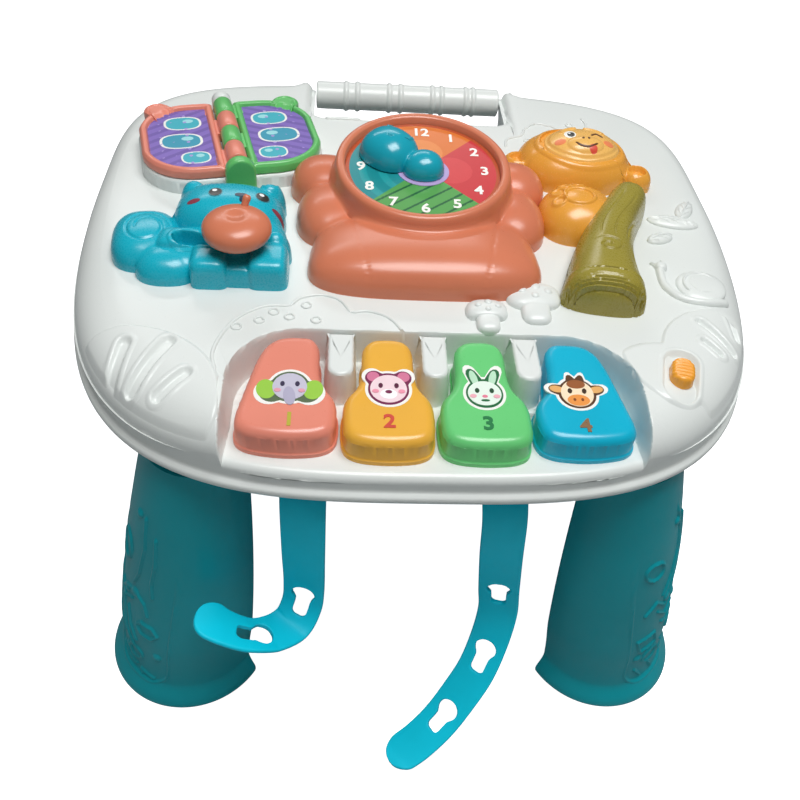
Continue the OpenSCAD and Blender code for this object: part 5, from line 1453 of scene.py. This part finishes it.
def depth_in(x, y, polygon):
    """Distance in from a polygon's edge, negative outside."""
    points = np.stack(np.broadcast_arrays(x, y), -1)
    d, _ = nearest(points, resample(polygon, 0.25))
    return np.where(inside(points, polygon), d, -d).reshape(points.shape[:-1])


def ear_depth(x, y, grow=0.0):
    return 6.5 + grow - np.hypot(x - 30, y - 27)


PAGE, CARD = half_page(), np.vstack([[[8.5, -26.5]], arc(17, -7, 19.5, -90, -10, 30),
                                     arc(17, 7, 19.5, 10, 90, 30), [[8.5, 26.5]]])


def page_height(x, y):
    """Frame with rounded edges round a sunk card, and a ridge along the ear's edge."""
    d = np.maximum(depth_in(x, y, PAGE), ear_depth(x, y))
    card = depth_in(x, y, CARD)
    on_ear = ear_depth(x, y) > np.maximum(depth_in(x, y, PAGE), -9)
    z = 11.25 - 1.5 * (1 - quarter(d / 1.5)) + raised(card + 1.7, 2.6, 0.5) * (~on_ear)
    z = z + raised(ear_depth(x, y) - 2.0, 1.4, 0.45) * on_ear
    return z - 1.45 * smoothstep(-0.5, 0.25, card)


def page_piece(name):
    field = lambda x, y: np.maximum(depth_in(x, y, PAGE), ear_depth(x, y))
    rim = rim_of(field, (20.0, 1.0), 46, 260, 0.0, 240)
    span = np.linalg.norm(rim - (20.0, 1.0), axis=1)
    edge = np.minimum(7.0 * (1 - np.linspace(0, 1, 52)[:, None] ** 1.15)[::-1], span * 0.6)
    core = np.linspace(0.03, 1, 14, endpoint=False)[:, None] * (span - edge[-1])
    steps = np.concatenate([core, span - edge[::-1]], 0) / span
    return disc_grid(name, (20.0, 1.0), rim, page_height, plane(7.3), steps, 50)


def barrel(name, v0, v1, r):
    """Round knuckle on the book's pin with rounded ends."""
    ends = [(0, r - 1.0), (0.15, r - 0.5), (0.5, r - 0.15), (1.0, r)]
    a = circle(48)
    rings = [np.stack([ri * np.cos(a), np.full(48, v), PIN_Z + ri * np.sin(a)], 1)
             for v, ri in [(v0 + d, q) for d, q in ends] + [(v1 - d, q) for d, q in ends[::-1]]]
    return sweep_closed(name, np.array(rings), 40)


def web(name, v0, v1):
    """Plate between a page and one of its knuckles."""
    section = np.array([(1.0, 7.5), (1.3, 7.3), (5.9, 7.3), (6.2, 7.6), (6.2, 10.8), (5.9, 11.1),
                        (1.3, 11.1), (1.0, 10.8)])
    rings = [np.stack([section[:, 0], np.full(8, v), section[:, 1]], 1) for v in (v0, v1)]
    return sweep_closed(name, np.array(rings), 40)


def card_color(x, y):
    """Purple with slanting darker stripes, and teal rounded shapes in a row."""
    stripe = np.mod(x * 0.5 + y * 0.87, 5.2) < 2.2
    out = np.where(stripe[:, None], srgb("#6A51A8"), srgb("#7D63BC"))
    for cx, cy, rx, ry, shade in ((20, 14, 8.5, 6.0, "#29AFC0"), (22, -2, 9.5, 6.5, "#1F97B4"),
                                  (17, -17, 6.5, 5.0, "#29AFC0")):
        rho = (np.abs((x - cx) / rx) ** 2.6 + np.abs((y - cy) / ry) ** 2.6) ** (1 / 2.6)
        out = np.where((rho < 1.0)[:, None], srgb("#F2F2EC"), out)
        out = np.where((rho < 0.88)[:, None], srgb(shade), out)
        out = np.where((np.hypot((x - cx + rx * 0.3) / rx, (y - cy - ry * 0.3) / ry) < 0.28)[:, None],
                       srgb("#9ADCE2"), out)
    dots = np.hypot(np.mod(x + 2, 6) - 3, np.mod(y, 6) - 3) < 0.8
    return np.where((dots & stripe)[:, None], srgb("#A892D8"), out)


def card_piece(name):
    rim = resample(CARD + (np.array([20, 0]) - CARD) * 0.008, 0.25)
    steps = np.linspace(0.01, 1, 100)
    return disc_grid(name, (20.0, 0.0), rim, plane(10.1), plane(9.6), steps, 40, card_color)


for side, side_name, material, slot_name, first in ((MIRROR, "left", KEY_CORAL, "coral_plastic", 1),
                                                    (np.eye(3), "right", GREEN, "green_plastic", 0)):
    turn, body = BOOK[0] @ side, "page_" + side_name

    def put(obj, paint=material, replaces=()):
        piece(laid(obj, turn, BOOK[1]), paint, body, replaces)
    put(page_piece("page_skin_" + side_name), replaces=["page_" + side_name])
    put(card_piece("card_print_" + side_name), PRINT, ["picture_" + side_name])
    for i in (first, first + 2):
        v = 27 - (i + 0.5) * KNUCKLE
        put(barrel("knuckle_%s_%d" % (side_name, i), v - 6.5, v + 6.5, 4.5))
        put(web("knuckle_web_%s_%d" % (side_name, i), v - 6.4, v + 6.4))


def book_base_piece():
    poly = half_page(0.8)
    def field(x, y):
        ax = np.abs(x)
        return np.maximum(np.maximum(depth_in(ax, y, poly), ear_depth(ax, y)),
                          np.minimum(8 - ax, 31 - np.abs(y)))
    rim = rim_of(field, (0.0, 0.0), 60, 420, 0.0, 260)
    steps = wall_steps(rim, (0.0, 0.0), 4.0, 22, 12)
    return disc_grid("book_base_skin", (0.0, 0.0), rim, lambda x,
                     y: 6.95 - 2.0 * (1 - quarter(np.maximum(field(x, y), 0) / 2.0)), plane(UNDER), steps,
                     50)


def arch_block(name, half, v0, v1, edge):
    """Arch-shaped block across the spine with rounded edges; it stands on the table."""
    def profile(inset):
        a, r = np.linspace(0, math.pi, 40), half - inset
        return np.vstack([[[r, UNDER]], np.stack([r * np.cos(a), PIN_Z + r * np.sin(a)], 1), [[-r, UNDER]]])
    t = np.linspace(0, math.pi / 2, 8)
    front = [(v0 + edge * (1 - math.cos(q)), edge * (1 - math.sin(q))) for q in t]
    back = [(v1 - edge * (1 - math.cos(q)), edge * (1 - math.sin(q))) for q in t][::-1]
    rings = []
    for v, inset in front + back:
        p = profile(inset)
        rings.append(np.stack([p[:, 0], np.full(len(p), v), p[:, 1]], 1))
    return laid(sweep_closed(name, np.array(rings), 50), *BOOK)


white(laid(book_base_piece(), *BOOK), "book_base")
piece(arch_block("hinge_block", 6.5, -36.3, -31.2, 1.2), GREEN,
      replaces=["hinge_clip"])
white(arch_block("rear_cap", 4.5, 27.4, 32.6, 1.2))

# ---- carry handle and switch
x = np.linspace(-48.8, 48.8, 260)
r = 7.0 - 1.0 * (1 - quarter((48.8 - np.abs(x)) / 1.0))
for place in (-33, -27, -10, -4, 13, 18, 31, 35):
    r = r + raised(x - place, 2.6, 0.75)
a = circle(64)
rings = np.stack([np.broadcast_to(HANDLE_X + x[:, None], (260, 64)), GRIP_Y + r[:, None] * np.cos(a),
                  GRIP_Z + r[:, None] * np.sin(a)], 2)
white(sweep_closed("grip_skin", rings, 60), "carry_handle")


def knob_top(x, y):
    """Domed top with six ribs across the way it slides."""
    ribs = 0.55 * (0.5 - 0.5 * np.cos(2 * math.pi * y / 1.7)) * (np.abs(y) < 5.1)
    return 4.3 - 0.02 * x ** 2 - 0.012 * y ** 2 - ribs


knob_rim = resample(np.vstack([arc(0, 2.0, 4.5, 0, 180, 40), arc(0, -2.0, 4.5, 180, 360, 40)]), 0.35)
knob = rounded_block("switch_skin", knob_rim, np.array([0.0, 0.0]), knob_top, 1.3,
                     [(0.3, 0), (0.25, 0.5), (0.0, -0.7)], 60, 16, 60)
piece(laid(knob, spin(SWITCH[2]), (SWITCH[0], SWITCH[1], 0.0)), ORANGE, "switch",
      ["switch_knob"])


# ---- better materials on the shown model parts
for part, material in (("base_shell", TEAL), ("carry_handle", WHITE), ("strap_studs", TEAL),
                       ("battery_door", TEAL)):
    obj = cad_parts[part]
    for k in range(len(obj.data.materials)):
        obj.material_slots[k].link = "OBJECT"
        obj.material_slots[k].material = material

# ---- floor, light and camera
def floor():
    """Plain pale floor that reads as white to the camera and as soft grey to bounced light."""
    mesh = bpy.data.meshes.new("floor")
    mesh.from_pydata([(-6, -6, 0), (6, -6, 0), (6, 6, 0), (-6, 6, 0)], [], [(0, 1, 2, 3)])
    material = bpy.data.materials.new("floor")
    material.use_nodes = True
    tree = material.node_tree
    shader = tree.nodes["Principled BSDF"]
    shader.inputs["Roughness"].default_value = 0.9
    rays, mix = tree.nodes.new("ShaderNodeLightPath"), tree.nodes.new("ShaderNodeMix")
    mix.data_type = "RGBA"
    mix.inputs["A"].default_value = (0.42, 0.45, 0.46, 1)
    mix.inputs["B"].default_value = (1, 1, 1, 1)
    link(tree, rays.outputs["Is Camera Ray"], mix.inputs["Factor"])
    link(tree, mix.outputs["Result"], shader.inputs["Base Color"])
    shader.inputs["Emission Color"].default_value = (1, 1, 1, 1)
    link(tree, rays.outputs["Is Camera Ray"], shader.inputs["Emission Strength"])
    mesh.materials.append(material)
    linked("floor", mesh)


def posed(x, y, z, place):
    """Matrix from three axes and a place."""
    return Matrix([*np.column_stack([x, y, z, place]), (0, 0, 0, 1)])


def area(name, place, aim, size, power):
    """Rectangular lamp at a place that faces an aim."""
    light = bpy.data.lights.new(name, "AREA")
    light.shape, light.energy = "RECTANGLE", power
    light.size, light.size_y = size
    z = unit(np.subtract(place, aim).astype(float))
    x = unit(np.cross((0, 0, 1.0), z))
    linked(name, light).matrix_world = posed(x, np.cross(z, x), z, place)


floor()
area("top_light", (0.12, -0.16, 1.2), (0, 0, 0.15), (0.7, 0.5), 10.6)
area("rear_strip", (-0.15, 0.95, 0.85), (0, 0, 0.17), (0.9, 0.05), 1.6)
area("front_fill", (-0.35, -1.2, 0.45), (0, -0.1, 0.06), (1.4, 0.5), 0.5)
world = bpy.data.worlds.new("studio")
world.use_nodes = True
sky = world.node_tree
rays, level = sky.nodes.new("ShaderNodeLightPath"), sky.nodes.new("ShaderNodeMapRange")
level.inputs["To Min"].default_value = 0.135
link(sky, rays.outputs["Is Camera Ray"], level.inputs["Value"])
link(sky, level.outputs["Result"], sky.nodes["Background"].inputs["Strength"])
sky.nodes["Background"].inputs["Color"].default_value = (1, 1, 1, 1)
scene = bpy.context.scene
scene.world = world
scene.view_settings.view_transform = "Standard"

# the camera of the photograph: turns in degrees, focal length and width in pixels
PHOTO_WIDTH = 800
TILT, YAW, ROLL, FOCAL = math.radians(45.331), math.radians(5.908), math.radians(5.555), 858.05
forward = np.array([math.sin(YAW) * math.cos(TILT), math.cos(YAW) * math.cos(TILT), -math.sin(TILT)])
right = unit(np.cross(forward, (0, 0, 1.0)))
above = np.cross(right, forward)
rolled = [math.cos(ROLL) * right + math.sin(ROLL) * above, math.cos(ROLL) * above - math.sin(ROLL) * right]
EYE = (-31.24, -316.69, 209.38)
lens = bpy.data.cameras.new("camera")
lens.sensor_width = 36
lens.lens = FOCAL / PHOTO_WIDTH * lens.sensor_width
lens.clip_start = 0.01
camera = linked("camera", lens)
camera.matrix_world = posed(*rolled, -forward, spot(EYE))
scene.camera = camera
